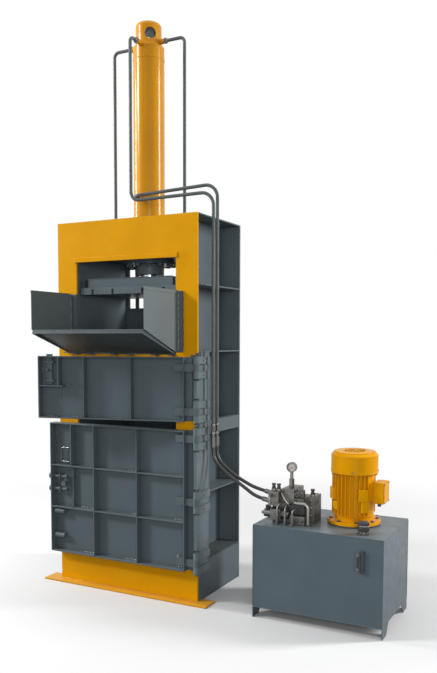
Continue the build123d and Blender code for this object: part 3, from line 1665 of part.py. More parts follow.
# Directional valve with a coil on each side, fixed to the manifold's front
with BuildPart() as solenoid_valves:
    valve_x1 = valve_x0 + valve_w
    valve_y = (valve_front + block_y0) / 2
    coil_z = valve_z0 + valve_h / 2
    block((valve_x0, valve_x1), (valve_front, block_y0), (valve_z0, valve_z0 + valve_h))
    rod((valve_x0 - coil_l, valve_y, coil_z), (valve_x1 + coil_l, valve_y, coil_z), coil_r)
    rod((valve_x0 - coil_l - coil_nut_l, valve_y, coil_z), (valve_x0, valve_y, coil_z), coil_nut_r)
save(solenoid_valves.part, "solenoid_valves")

with BuildPart() as cartridge_valves:
    for inset in step_cartridge_insets:
        spot = (main_x1 + inset, block_y0 + step_cartridge_setback)
        hexagon(*spot, step_top, step_cartridge_r, cartridge_hex_h)
        rod((*spot, step_top), (*spot, step_top + step_cartridge_h), step_cartridge_r - cartridge_step)
    for inset in front_cartridge_insets:
        spot = (main_x0 + inset, block_y0 - front_cartridge_out)
        hexagon(*spot, tank_top, front_cartridge_r, cartridge_hex_h)
        rod((*spot, tank_top), (*spot, tank_top + front_cartridge_h), front_cartridge_r - cartridge_step)
save(cartridge_valves.part, "cartridge_valves")

# Pressure gauge on its isolator, with an open dial for the needle
dial_z = main_top + stem_h + isolator_h + dial_r
dial_front = stem_y - dial_t / 2
dial_floor = dial_front + dial_recess
with BuildPart() as pressure_gauge:
    hexagon(stem_x, stem_y, main_top, stem_r, stem_h)
    rod((stem_x, stem_y, main_top), (stem_x, stem_y, dial_z - dial_r + isolator_r), isolator_r)
    rod((stem_x, dial_front, dial_z), (stem_x, dial_front + dial_t, dial_z), dial_r)
    rod((stem_x, dial_front, dial_z), (stem_x, dial_floor, dial_z), dial_r - dial_rim, mode=Mode.SUBTRACT)
    rod(
        (stem_x, dial_floor, dial_z),
        (stem_x, dial_floor + needle_pin_l, dial_z),
        needle_pin_d / 2 + pin_gap,
        mode=Mode.SUBTRACT,
    )
save(pressure_gauge.part, "pressure_gauge")

needle_rest = radians(needle_rest_deg)
needle_plane = Plane(
    origin=(stem_x, dial_floor - knob_gap, dial_z),
    x_dir=(cos(needle_rest), 0, sin(needle_rest)),
    z_dir=(0, -1, 0),
)
with BuildPart(needle_plane) as gauge_needle:
    with Locations((needle_l / 2, 0, needle_hub_h / 2)):
        Box(needle_l, needle_w, needle_t)
    rod((0, 0, 0), (0, 0, needle_hub_h), needle_hub_r)
    rod((0, 0, -needle_pin_l), (0, 0, 0), needle_pin_d / 2)
save(gauge_needle.part, "gauge_needle")

return_tube_x0 = main_x1 + return_tube_inset
return_tube_x1 = return_tube_x0 + return_tube_w
return_tube_y = block_y0 - return_tube_out
return_tube_z = tank_top + return_tube_rise
return_tube = bent_tube(
    (
        (return_tube_x0, block_y0, return_tube_z),
        (return_tube_x0, return_tube_y, return_tube_z),
        (return_tube_x1, return_tube_y, return_tube_z),
        (return_tube_x1, return_tube_y, tank_top),
    ),
    [return_bend, return_bend],
    return_tube_d / 2,
)
save(return_tube, "return_tube")
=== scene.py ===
# Looks of the vertical baler and its power unit. Metres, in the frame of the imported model.
import json
import random
from math import cos, pi, radians, sin

import bmesh
import bpy
from mathutils import Matrix, Vector


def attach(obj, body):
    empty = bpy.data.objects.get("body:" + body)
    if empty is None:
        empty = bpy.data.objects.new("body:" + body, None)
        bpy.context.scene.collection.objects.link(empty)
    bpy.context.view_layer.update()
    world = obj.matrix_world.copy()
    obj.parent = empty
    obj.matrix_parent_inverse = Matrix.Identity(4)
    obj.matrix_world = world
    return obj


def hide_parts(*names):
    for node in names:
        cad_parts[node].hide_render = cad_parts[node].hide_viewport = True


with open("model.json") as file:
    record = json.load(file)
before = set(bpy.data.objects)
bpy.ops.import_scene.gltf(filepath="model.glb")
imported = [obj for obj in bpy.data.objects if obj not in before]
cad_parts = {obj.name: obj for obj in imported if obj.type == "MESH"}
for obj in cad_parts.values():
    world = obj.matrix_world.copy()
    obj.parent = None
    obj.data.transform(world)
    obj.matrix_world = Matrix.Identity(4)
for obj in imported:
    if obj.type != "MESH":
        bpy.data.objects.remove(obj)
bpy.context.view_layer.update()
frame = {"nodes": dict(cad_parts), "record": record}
nodes = frame["nodes"]
scene = bpy.context.scene
scene.view_settings.view_transform = "Standard"

# Camera, solved from the straight edges of the frame in the photograph
PHOTO_WIDTH = 437
PHOTO_HEIGHT = 673
FOCAL_PX = 742.01
PRINCIPAL_PX = (220.06, 393.74)
SENSOR = 0.036
CAMERA_AT = Vector((3.5838, -5.2055, 2.1492))
YAW = radians(27.2331)
PITCH = radians(4.1197)
ROLL = radians(0.1388)


def make_camera():
    """The photograph's view. Its verticals are nearly parallel, so the lens is shifted."""
    data = bpy.data.cameras.new("camera")
    data.sensor_width = SENSOR * 1000
    data.lens = FOCAL_PX * data.sensor_width / PHOTO_HEIGHT
    data.shift_x = (PHOTO_WIDTH / 2 - PRINCIPAL_PX[0]) / PHOTO_HEIGHT
    data.shift_y = (PRINCIPAL_PX[1] - PHOTO_HEIGHT / 2) / PHOTO_HEIGHT
    data.clip_end = 200
    forward = Vector((-sin(YAW) * cos(PITCH), cos(YAW) * cos(PITCH), -sin(PITCH)))
    level = Vector((cos(YAW), sin(YAW), 0))
    upright = level.cross(forward)
    right = cos(ROLL) * level + sin(ROLL) * upright
    up = cos(ROLL) * upright - sin(ROLL) * level
    camera = bpy.data.objects.new("camera", data)
    camera.matrix_world = Matrix.Translation(CAMERA_AT) @ Matrix((right, up, -forward)).transposed().to_4x4()
    scene.collection.objects.link(camera)
    scene.camera = camera


make_camera()

# The two hoses, through the same points as their solids
HOSE_D = 0.028
PRESSURE_ROUTE = (
    (0.795, 0.092, 1.283),
    (0.795, 0.092, 1.225),
    (0.819, 0.092, 1.165),
    (0.879, 0.092, 1.108),
    (0.966, 0.092, 1.047),
    (1.082, 0.092, 0.978),
    (1.172, 0.092, 0.918),
    (1.240, 0.092, 0.905),
)
RETURN_ROUTE = (
    (0.795, 0.160, 1.283),
    (0.795, 0.160, 1.227),
    (0.817, 0.160, 1.168),
    (0.871, 0.160, 1.114),
    (0.959, 0.160, 1.056),
    (1.057, 0.160, 1.006),
    (1.150, 0.160, 0.968),
    (1.232, 0.160, 0.953),
)


def make_hose(name, route, node):
    """A smooth hose along its route, in place of its solid, which is hidden."""
    curve = bpy.data.curves.new(name, "CURVE")
    curve.dimensions = "3D"
    spline = curve.splines.new("NURBS")
    spline.points.add(len(route) - 1)
    for point, place in zip(spline.points, route):
        point.co = (*place, 1)
        point.radius = HOSE_D / 2
    spline.order_u = 3
    spline.use_endpoint_u = True
    spline.resolution_u = 16
    curve.bevel_depth = 1
    curve.bevel_resolution = 8
    curve.use_fill_caps = True
    hose = bpy.data.objects.new(name, curve)
    scene.collection.objects.link(hose)
    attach(hose, "frame")
    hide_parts(node)
    return hose


hoses = (
    make_hose("pressure_hose_rubber", PRESSURE_ROUTE, "pressure_hose"),
    make_hose("return_hose_rubber", RETURN_ROUTE, "return_hose"),
)

# Materials: the finishes share a few node chains, and their numbers are metres and shares
DUST = (0.55, 0.54, 0.5, 1.0)
BLOOM = (0.3, 0.3, 0.29, 1.0)


def from_srgb(*levels):
    """Linear colour from display levels of 0 to 255."""
    parts = [level / 255 for level in levels]
    return tuple(part / 12.92 if part <= 0.04045 else ((part + 0.055) / 1.055) ** 2.4 for part in parts)


def shade(colour, factor):
    """A colour made lighter or darker, with its alpha."""
    return (*(min(1.0, level * factor) for level in colour), 1.0)


class Surface:
    """A Principled material and the few node chains that the finishes share."""

    def __init__(self, name, roughness, metallic=0.0):
        self.material = bpy.data.materials.new(name)
        self.material.use_nodes = True
        self.tree = self.material.node_tree
        self.bsdf = self.tree.nodes["Principled BSDF"]
        self.bsdf.inputs["Roughness"].default_value = roughness
        self.bsdf.inputs["Metallic"].default_value = metallic
        self.place = self.node("ShaderNodeTexCoord").outputs["Object"]
        self.normal = None

    def node(self, kind, **values):
        """A node of a kind, with its settings."""
        made = self.tree.nodes.new(kind)
        for key, value in values.items():
            setattr(made, key, value)
        return made

    def wire(self, socket, target):
        """Links an output to an input."""
        self.tree.links.new(socket, target)

    def stretched(self, scale):
        """Object coordinates, scaled by axis."""
        mapping = self.node("ShaderNodeMapping")
        mapping.inputs["Scale"].default_value = scale
        self.wire(self.place, mapping.inputs["Vector"])
        return mapping.outputs["Vector"]

    def noise(self, scale, detail=3.0, roughness=0.55, place=None):
        """Cloudy noise from 0 to 1. Scale is in waves to the metre."""
        made = self.node("ShaderNodeTexNoise")
        made.inputs["Scale"].default_value = scale
        made.inputs["Detail"].default_value = detail
        made.inputs["Roughness"].default_value = roughness
        self.wire(place or self.place, made.inputs["Vector"])
        return made.outputs["Fac"]

    def ramp(self, factor, *stops):
        """A colour ramp with stops of position and colour."""
        made = self.node("ShaderNodeValToRGB")
        elements = made.color_ramp.elements
        while len(elements) < len(stops):
            elements.new(0.5)
        for element, (position, colour) in zip(elements, stops):
            element.position = position
            element.color = colour
        self.wire(factor, made.inputs["Fac"])
        return made.outputs["Color"]

    def span(self, factor, low, high, from_low=0.3, from_high=0.7):
        """Stretches one range of a value onto another."""
        made = self.node("ShaderNodeMapRange")
        made.inputs["From Min"].default_value = from_low
        made.inputs["From Max"].default_value = from_high
        made.inputs["To Min"].default_value = low
        made.inputs["To Max"].default_value = high
        self.wire(factor, made.inputs["Value"])
        return made.outputs["Result"]

    def mix(self, factor, first, second):
        """Blends two colours, each a value or a link."""
        made = self.node("ShaderNodeMix", data_type="RGBA")
        self.wire(factor, made.inputs["Factor"])
        for socket, value in ((made.inputs["A"], first), (made.inputs["B"], second)):
            if isinstance(value, tuple):
                socket.default_value = value
            else:
                self.wire(value, socket)
        return made.outputs["Result"]

    def math(self, operation, first, second):
        """One operation on two values, each a number or a link."""
        made = self.node("ShaderNodeMath", operation=operation)
        for socket, value in zip(made.inputs, (first, second)):
            if isinstance(value, (int, float)):
                socket.default_value = value
            else:
                self.wire(value, socket)
        return made.outputs["Value"]

    def bump(self, height, depth, strength=1.0):
        """Adds relief to the relief so far."""
        made = self.node("ShaderNodeBump")
        made.inputs["Distance"].default_value = depth
        made.inputs["Strength"].default_value = strength
        self.wire(height, made.inputs["Height"])
        if self.normal:
            self.wire(self.normal, made.inputs["Normal"])
        self.normal = made.outputs["Normal"]

    def edges(self, radius):
        """One on sharp edges, zero on flats."""
        rounded = self.node("ShaderNodeBevel", samples=4)
        rounded.inputs["Radius"].default_value = radius
        flat = self.node("ShaderNodeNewGeometry")
        dot = self.node("ShaderNodeVectorMath", operation="DOT_PRODUCT")
        self.wire(rounded.outputs["Normal"], dot.inputs[0])
        self.wire(flat.outputs["Normal"], dot.inputs[1])
        return self.span(dot.outputs["Value"], 1.0, 0.0, 0.80, 0.97)

    def hollows(self, reach):
        """One in the open, darker in corners."""
        made = self.node("ShaderNodeAmbientOcclusion", samples=6)
        made.inputs["Distance"].default_value = reach
        return made.outputs["AO"]

    def upward(self):
        """One on faces that look up, zero on walls."""
        flat = self.node("ShaderNodeNewGeometry")
        split = self.node("ShaderNodeSeparateXYZ")
        self.wire(flat.outputs["Normal"], split.inputs["Vector"])
        return self.span(split.outputs["Z"], 0.0, 1.0, 0.5, 1.0)

    def done(self, colour=None, roughness=None):
        """Links what was built to the shader and gives the material."""
        if colour is not None:
            self.wire(colour, self.bsdf.inputs["Base Color"])
        if roughness is not None:
            self.wire(roughness, self.bsdf.inputs["Roughness"])
        if self.normal:
            self.wire(self.normal, self.bsdf.inputs["Normal"])
        return self.material


def enamel(name, colour, gloss, peel=0.00003, worn=0.35, shine=0.15, dusty=1.0, painted_shade_strength=0.45):
    """Sprayed enamel: soft mottling, dust on top, painted shade in corners, orange peel and lighter edges."""
    s = Surface(name, gloss)
    s.bsdf.inputs["Specular IOR Level"].default_value = shine
    cloud = s.noise(2.2, 5.0, 0.6)
    tone = s.ramp(cloud, (0.32, shade(colour, 0.93)), (0.68, shade(colour, 1.06)))
    streak = s.noise(9.0, 4.0, 0.7, s.stretched((6.0, 6.0, 0.5)))
    tone = s.mix(s.span(streak, 0.0, 0.22, 0.5, 0.8), tone, shade(colour, 0.82))
    # Painted shade: ambient occlusion darkens the paint in corners and hollows.
    painted_shade = s.math("SUBTRACT", 1.0, s.hollows(0.035))
    tone = s.mix(s.math("MULTIPLY", painted_shade, painted_shade_strength), tone, shade(colour, 0.5))
    speck = s.noise(160.0, 3.0, 0.8)
    dust = s.math("MULTIPLY", s.upward(), s.span(speck, 0.02 * dusty, 0.10 * dusty))
    tone = s.mix(dust, tone, DUST)
    nick = s.math("MULTIPLY", s.edges(0.0025), s.span(s.noise(45.0, 5.0, 0.75), 0.0, worn, 0.42, 0.62))
    tone = s.mix(nick, tone, shade(tuple(level * 0.6 + 0.22 for level in colour), 1.0))
    s.bump(s.noise(5.0, 2.0), 0.0012, 0.22)
    s.bump(s.noise(420.0, 2.0), peel, 0.5)
    rough = s.span(s.noise(14.0, 4.0, 0.7), gloss - 0.05, gloss + 0.09)
    return s.done(tone, rough)


def machined(name, colour, gloss, grain=(1.0, 1.0, 18.0)):
    """Bare metal with fine tool marks, a few stains and painted shade in its hollows."""
    s = Surface(name, gloss, 1.0)
    marks = s.noise(90.0, 4.0, 0.7, s.stretched(grain))
    tone = s.ramp(marks, (0.3, shade(colour, 0.82)), (0.7, shade(colour, 1.12)))
    stain = s.noise(16.0, 5.0, 0.65)
    tone = s.mix(s.span(stain, 0.0, 0.55, 0.5, 0.75), tone, shade(colour, 0.45))
    # Painted shade: ambient occlusion darkens the metal in corners and hollows.
    painted_shade = s.math("SUBTRACT", 1.0, s.hollows(0.012))
    tone = s.mix(s.math("MULTIPLY", painted_shade, 0.7), tone, shade(colour, 0.25))
    s.bump(marks, 0.00004, 0.6)
    rough = s.span(stain, gloss - 0.07, gloss + 0.16)
    return s.done(tone, rough)


def moulded(name, colour, gloss, pore=0.00005, dusty=0.12):
    """Moulded plastic or rubber with a fine pore and a light bloom."""
    s = Surface(name, gloss)
    bloom = s.noise(30.0, 5.0, 0.7)
    tone = s.ramp(bloom, (0.35, shade(colour, 0.85)), (0.72, shade(colour, 1.5)))
    dust = s.math("MULTIPLY", s.upward(), dusty)
    tone = s.mix(dust, tone, BLOOM)
    s.bump(s.noise(600.0, 2.0), pore, 0.6)
    return s.done(tone, s.span(bloom, gloss - 0.05, gloss + 0.12))


# Paints, by their display levels in plain light
YELLOW = from_srgb(219, 155, 6)
# The barrel's yellow is the plate's yellow made a little darker, as painted shade on the barrel.
SHADED_BARREL = from_srgb(208, 141, 5)
GREY = from_srgb(90, 102, 107)
# A lighter copy of the grey paint, as painted light on the hinge bar and on the feed tray's edge rods.
POST = from_srgb(104, 117, 122)
CHEEK = from_srgb(105, 115, 117)
# A darker copy of the grey paint, as painted shade on the feed tray.
TRAY = from_srgb(74, 83, 86)
# A darker copy of the grey paint, as painted shade on the parts in its slot and on the gauge's guard.
SHADE_GREY = from_srgb(66, 74, 77)
TANK = from_srgb(88, 102, 109)
MOTOR = from_srgb(230, 160, 6)
PIPE = from_srgb(92, 98, 99)

yellow_paint = enamel("yellow_paint", YELLOW, 0.30, shine=0.08)
# The barrel's paint is glossier, and its darker colour is painted shade.
barrel_paint = enamel("barrel_paint", SHADED_BARREL, 0.17, shine=0.24)
grey_paint = enamel("grey_paint", GREY, 0.36)
# Painted light: the grey paint lightened for the hinge bar and the tray's edge rods.
lit_grey_paint = enamel("lit_grey_paint", POST, 0.34, worn=0.5)
cheek_paint = enamel("cheek_paint", CHEEK, 0.34)
tray_shade_paint = enamel("tray_shade_paint", TRAY, 0.42, shine=0.1)
dial_white = enamel("dial_white", (0.62, 0.62, 0.60), 0.25, worn=0.0, dusty=0.0)
# The dark_paint slot's finish is the grey paint darkened as painted shade.
dark_paint = enamel("dark_paint", SHADE_GREY, 0.48)
tank_paint = enamel("tank_paint", TANK, 0.34)
# The motor has deeper painted shade in its corners, which darkens the valleys between its fins.
motor_paint = enamel("motor_paint", MOTOR, 0.30, shine=0.07, dusty=0.1, painted_shade_strength=0.65)
pipe_paint = enamel("pipe_paint", PIPE, 0.26)
bare_steel = machined("bare_steel", (0.26, 0.255, 0.24), 0.38)
block_steel = machined("block_steel", (0.19, 0.185, 0.168), 0.44)
# A bright steel that paints glints on the door weld spots and highlight lines on the pull handle.
weld_glint_steel = machined("weld_glint_steel", (0.66, 0.66, 0.64), 0.26)
zinc = machined("zinc", (0.27, 0.27, 0.255), 0.34)
gauge_steel = machined("gauge_steel", (0.20, 0.20, 0.19), 0.32)
fitting_steel = machined("fitting_steel", (0.15, 0.15, 0.145), 0.36)
chrome_rod = machined("chrome_rod", (0.80, 0.80, 0.80), 0.09, (1.0, 1.0, 0.05))
cast_iron = machined("cast_iron", (0.16, 0.16, 0.155), 0.42, (1.0, 1.0, 1.0))
rubber_hose = moulded("rubber_hose", (0.014, 0.015, 0.015), 0.30, dusty=0.03)
black_plastic = moulded("black_plastic", (0.018, 0.018, 0.019), 0.38)
red_plastic = moulded("red_plastic", (0.48, 0.02, 0.012), 0.30)

# A finish for each slot of the record, then the nodes whose paint differs from their slot's
finishes = {
    "yellow_paint": yellow_paint,
    "grey_paint": grey_paint,
    "dark_paint": dark_paint,
    "tank_paint": tank_paint,
    "motor_paint": motor_paint,
    "pipe_paint": pipe_paint,
    "bare_steel": bare_steel,
    "zinc": zinc,
    "fitting_steel": fitting_steel,
    "chrome_rod": chrome_rod,
    "cast_iron": cast_iron,
    "rubber_hose": rubber_hose,
    "black_plastic": black_plastic,
    "red_plastic": red_plastic,
}
for subpart in frame["record"]["subparts"]:
    node = nodes[subpart["node"]]
    for material_slot in node.material_slots:
        material_slot.material = finishes[subpart["material_slot"]]
for name, look in (
    ("hinge_bar", lit_grey_paint),
    ("left_cheek", cheek_paint),
    ("right_cheek", cheek_paint),
    ("feed_tray", tray_shade_paint),
    ("cylinder_barrel", barrel_paint),
    ("cylinder_cap", barrel_paint),
    ("manifold_block", block_steel),
    ("cartridge_valves", cast_iron),
    ("pressure_gauge", gauge_steel),
    ("level_gauge", tank_paint),
):
    nodes[name].material_slots[0].material = look
for hose in hoses:
    hose.data.materials.append(rubber_hose)

# Small rounds on the edges of the large solids
MERGE_REACH = 0.00002
FLAT_TURN = radians(1)
SHARP_TURN = radians(40)
PLATE_EDGE = 0.002
DOOR_EDGE = 0.0015
TANK_EDGE = 0.0012


def soften(names, width, segments=2):
    """Small rounds on the sharp edges of flat-sided solids."""
    for name in names:
        piece = nodes[name]
        weld = piece.modifiers.new("weld", "WELD")
        weld.merge_threshold = MERGE_REACH
        flat = piece.modifiers.new("flat", "DECIMATE")
        flat.decimate_type = "DISSOLVE"
        flat.angle_limit = FLAT_TURN
        bevel = piece.modifiers.new("bevel", "BEVEL")
        bevel.width = width
        bevel.segments = segments
        bevel.limit_method = "ANGLE"
        bevel.angle_limit = SHARP_TURN
        bevel.harden_normals = True
        bevel.use_clamp_overlap = False


soften(("front_plate", "rear_wall", "top_plate", "base_floor", "base_skirts", "side_walls"), PLATE_EDGE)
soften(("side_ribs", "corner_columns", "foot_strip", "platen_plate", "platen_box", "guide_shoes"), PLATE_EDGE)
soften(("upper_door_skin", "upper_door_ribs", "lower_door_ribs"), DOOR_EDGE)
soften(("oil_tank", "tank_lid", "manifold_block"), TANK_EDGE)

# Small pieces that the solids leave out: welds, fittings, bolts and rings. Sizes are in millimetres
X = Vector((1, 0, 0))
Y = Vector((0, 1, 0))
Z = Vector((0, 0, 1))
SIDES = (-1, 1)
SPLIT_TURN = radians(38)
PIPE_STEPS = 8
THIN_BEAD = 3.0
MID_BEAD = 3.5
FULL_BEAD = 4.0
SEED = 11
rng = random.Random(SEED)


def outward(turn):
    """A level direction, by its turn in degrees from +X towards +Y."""
    return Vector((cos(radians(turn)), sin(radians(turn)), 0))


class Detail:
    """Small forms of one finish on one body, gathered into one object."""

    def __init__(self, name, body, slot, look=None):
        self.name = name
        self.body = body
        self.slot = slot
        self.look = look or finishes[slot]
        self.mesh = bmesh.new()

    def rings(self, rings, closed=False):
        """Skins a list of rings of points, with flat ends unless the rings close on themselves."""
        made = [[self.mesh.verts.new(point / 1000) for point in ring] for ring in rings]
        pairs = list(zip(made, made[1:])) + ([(made[-1], made[0])] if closed else [])
        for lower, upper in pairs:
            for step in range(len(lower)):
                turn = (step + 1) % len(lower)
                self.mesh.faces.new((lower[step], lower[turn], upper[turn], upper[step]))
        if not closed:
            self.mesh.faces.new(reversed(made[0]))
            self.mesh.faces.new(made[-1])

    def turned(self, base, axis, outline, sides=24, closed=False):
        """A form turned about an axis, from its outline of radius and height."""
        turn = Vector(axis).to_track_quat("Z", "X").to_matrix()
        angles = [2 * pi * (step + 0.5) / sides for step in range(sides)]
        self.rings(
            [
                [Vector(base) + turn @ Vector((radius * cos(a), radius * sin(a), height)) for a in angles]
                for radius, height in outline
            ],
            closed,
        )

    def hexagon(self, base, axis, radius, height):
        """A nut or bolt head with a small chamfer."""
        edge = min(1.5, height / 4)
        outline = ((radius - edge, 0), (radius, edge), (radius, height - edge), (radius - edge, height))
        self.turned(base, axis, outline, 6)

    def hoop(self, base, axis, radius, thick, sides=48):
        """A round bead that runs round an axis."""
        outline = [(radius + thick * cos(2 * pi * k / 8), thick * sin(2 * pi * k / 8)) for k in range(8)]
        self.turned(base, axis, outline, sides, closed=True)

    def screw(self, base, axis, radius, height):
        """A socket head: a drum with a chamfer and a hexagon hole."""
        hole = radius * 0.5
        self.turned(base, axis, ((radius, 0), (radius, height - 1), (radius - 1, height), (hole, height)))
        self.turned(base, axis, ((hole, height - 0.6), (hole, height + 0.2)), 6)

    def plug(self, base, axis, radius):
        """A flush screw plug with its sealing ring."""
        self.hoop(base, axis, radius, 1.6, 28)
        face = radius - 1
        self.turned(base, axis, ((face, -0.5), (face, 2.2), (radius - 3, 3.2), (radius * 0.45, 3.2)))

    def swept(self, points, radii, sides=10):
        """A round section carried along a line of points."""
        points = [Vector(point) for point in points]
        rings = []
        side = None
        for index, point in enumerate(points):
            run = (points[min(index + 1, len(points) - 1)] - points[max(index - 1, 0)]).normalized()
            side = run.orthogonal() if side is None else side - run * side.dot(run)
            side.normalize()
            other = run.cross(side)
            radius = radii[index] if isinstance(radii, (list, tuple)) else radii
            angles = [2 * pi * step / sides for step in range(sides)]
            rings.append([point + radius * (cos(a) * side + sin(a) * other) for a in angles])
        self.rings(rings)

    def pipe(self, points, radius):
        """A bent pipe on a smooth line through its points."""
        points = [Vector(point) for point in points]
        whole = [points[0], *points, points[-1]]
        line = []
        for before, start, end, after in zip(whole, whole[1:], whole[2:], whole[3:]):
            slope = end - before
            bend = 2 * before - 5 * start + 4 * end - after
            twist = 3 * start - before - 3 * end + after
            for step in range(PIPE_STEPS):
                s = step / PIPE_STEPS
                line.append(0.5 * (2 * start + slope * s + bend * s * s + twist * s * s * s))
        self.swept([*line, points[-1]], radius, 14)

    def bead(self, start, end, radius=FULL_BEAD, pitch=7.0):
        """A weld bead: ripples along a line, a little uneven, tapered at its ends."""
        start, end = Vector(start), Vector(end)
        count = max(4, int((end - start).length / pitch * 2))
        points, radii = [], []
        for step in range(count + 1):
            jitter = Vector([rng.uniform(-0.35, 0.35) for _ in range(3)])
            points.append(start.lerp(end, step / count) + jitter)
            swell = radius * (1.0 if step % 2 else 0.80) * rng.uniform(0.93, 1.06)
            radii.append(swell * (0.55 if step in (0, count) else 1.0))
        self.swept(points, radii, 6)

    def stitches(self, start, end, length, gap, radius=FULL_BEAD):
        """Short beads in a row."""
        start, end = Vector(start), Vector(end)
        run = end - start
        at = gap / 2
        while at + length < run.length:
            self.bead(start + run.normalized() * at, start + run.normalized() * (at + length), radius)
            at += length + gap

    def slab(self, low, high, round_off=2.0):
        """A block with softened edges."""
        low, high = Vector(low) / 1000, Vector(high) / 1000
        made = bmesh.ops.create_cube(self.mesh, size=1.0)["verts"]
        bmesh.ops.scale(self.mesh, vec=high - low, verts=made)
        bmesh.ops.translate(self.mesh, vec=(low + high) / 2, verts=made)
        edges = list({edge for vert in made for edge in vert.link_edges})
        bmesh.ops.bevel(self.mesh, geom=edges, offset=round_off / 1000, segments=2, affect="EDGES")

    def pad(self, axis_at, turn, width, zs, start, reach, edge=6):
        """A cast pad on a round body, with sloped edges."""
        out = outward(turn)
        along = Vector((-out.y, out.x, 0))
        low, high = zs
        rings = []
        for depth, inset in ((start, 0), (reach - edge, 0), (reach, edge)):
            half = width / 2 - inset
            corners = ((-half, low + inset), (half, low + inset), (half, high - inset), (-half, high - inset))
            rings.append([axis_at + out * depth + along * across + Z * height for across, height in corners])
        self.rings(rings)

    def made(self):
        """Turns what was gathered into an object on its body."""
        data = bpy.data.meshes.new(self.name)
        bmesh.ops.recalc_face_normals(self.mesh, faces=self.mesh.faces)
        self.mesh.to_mesh(data)
        self.mesh.free()
        data.shade_smooth()
        piece = bpy.data.objects.new(self.name, data)
        scene.collection.objects.link(piece)
        sharp = piece.modifiers.new("sharp", "EDGE_SPLIT")
        sharp.split_angle = SPLIT_TURN
        data.materials.append(self.look)
        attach(piece, self.body)
        return piece


# Places that several groups share
WALL_X = 512
POST_X = 728
HINGE_ZS = (1930, 1577, 1358, 844, 345)
LUG_OFFSET = 31
LUG_H = 55
CYLINDER_AT = Vector((0, 393, 0))
HOSE_X = 795
PIPE_YS = (92, 160)
MOTOR_AT = Vector((1899, 360, 0))
FILLER_AT = Vector((2070, 40, 0))
LID_SEAT = 731.8


def lug_feet(hinge_z):
    """Heights of the feet of a hinge's two lugs."""
    return (hinge_z + LUG_OFFSET, hinge_z - LUG_OFFSET - LUG_H)


# The frame's welds
seams = Detail("frame_seams", "frame", "grey_paint")
for side in SIDES:
    rib_x = side * (WALL_X + 1)
    wall_x = side * (WALL_X + 2)
    for rib_z in (2600, 2057, 890):
        seams.stitches((rib_x, 40, rib_z + 7), (rib_x, 750, rib_z + 7), 55, 75)
    seams.stitches((wall_x, 764, 360), (wall_x, 764, 3130), 45, 55)
    seams.stitches((wall_x, 22, 2080), (wall_x, 22, 2590), 45, 75)
    seams.stitches((wall_x, 22, 2620), (wall_x, 22, 3130), 45, 75)
    seams.stitches((side * 573, -2, 2070), (side * 573, -2, 2530), 30, 62, THIN_BEAD)
seams.stitches((699, -2, 260), (699, -2, 2010), 60, 90)
for hinge_z in HINGE_ZS:
    for lug_z in lug_feet(hinge_z):
        for face_z in (lug_z, lug_z + LUG_H):
            seams.bead((POST_X + 1, -18, face_z), (POST_X + 1, 120, face_z), MID_BEAD)
# This bead lies on platen_box, so it belongs on the ram: here it stays behind when the ram slides
seams.bead((-430, 66, 2676), (430, 66, 2676), MID_BEAD)
seams.made()

# Bars beside the hinge post and beside the feed window
post_bars = Detail("post_side_bars", "frame", "grey_paint")
for low_z, high_z in ((262, 1424), (1496, 2030)):
    post_bars.slab((640, -2.4, low_z), (703, 1, high_z), 0.8)
for side in SIDES:
    low_x, high_x = sorted((side * 498.5, side * 504.5))
    post_bars.slab((low_x, -6.5, 2052), (high_x, 21, 2544), 0.8)
for hinge_z in HINGE_ZS:
    post_bars.slab((698, -27, hinge_z - 118), (POST_X + 1, -15, hinge_z + 118), 1.5)
post_bars.made()

# Hinge lines of the cheeks, and rods along the feed tray's edges in a lighter grey that paints a highlight
# along them
KNUCKLE_H = 24
knuckles = Detail("cheek_hinge_lines", "frame", "zinc")
for side in SIDES:
    line_at = Vector((side * 546.5, -37.5, 0))
    for foot in range(2076, 2493, 52):
        knuckles.swept((line_at + Z * foot, line_at + Z * (foot + KNUCKLE_H)), 2.4, 8)
knuckles.made()

TRAY_X = 531
TRAY_EDGE = 3.0
# The rods are in the lighter grey, as a painted highlight along the tray's edges.
tray_edge_highlights = Detail("tray_edge_highlights", "tray", "grey_paint", lit_grey_paint)
tray_edge_highlights.swept(((-TRAY_X, -532.5, 2226), (TRAY_X, -532.5, 2226)), TRAY_EDGE, 8)
for side in SIDES:
    tray_edge_highlights.swept(((side * TRAY_X, -541, 2201), (side * TRAY_X, -70, 2038)), TRAY_EDGE, 8)
tray_edge_highlights.made()

# A bush in the lifting eye
EYE_TURN = radians(40)
EYE_AXIS = Vector((sin(EYE_TURN), -cos(EYE_TURN), 0))
BUSH = ((44.5, -99), (47.8, -101), (47.8, 101), (44.5, 99))
eye_bush = Detail("eye_bush", "frame", "black_plastic")
eye_bush.turned(CYLINDER_AT + Z * 4757, EYE_AXIS, BUSH, 48, closed=True)
eye_bush.made()

# Welds on the yellow plate and round the cylinder
CYLINDER_RINGS = ((4555, 136.5, 2.4, 72), (4660, 135.2, 1.2, 72), (4685, 113.5, 3.2, 64))
yellow_seams = Detail("plate_seams", "frame", "yellow_paint")
yellow_seams.stitches((-690, -2, 13), (690, -2, 13), 80, 60, 4.5)
yellow_seams.bead((-516, -3, 2855), (516, -3, 2855), MID_BEAD)
yellow_seams.bead((-516, -3, 2817), (-502, -3, 2817), THIN_BEAD)
for ring_z, radius, thick, sides in CYLINDER_RINGS:
    yellow_seams.hoop(CYLINDER_AT + Z * ring_z, Z, radius, thick, sides)
yellow_seams.hoop((-5, 259, 3372), Y, 23, 3.0, 28)
yellow_seams.made()

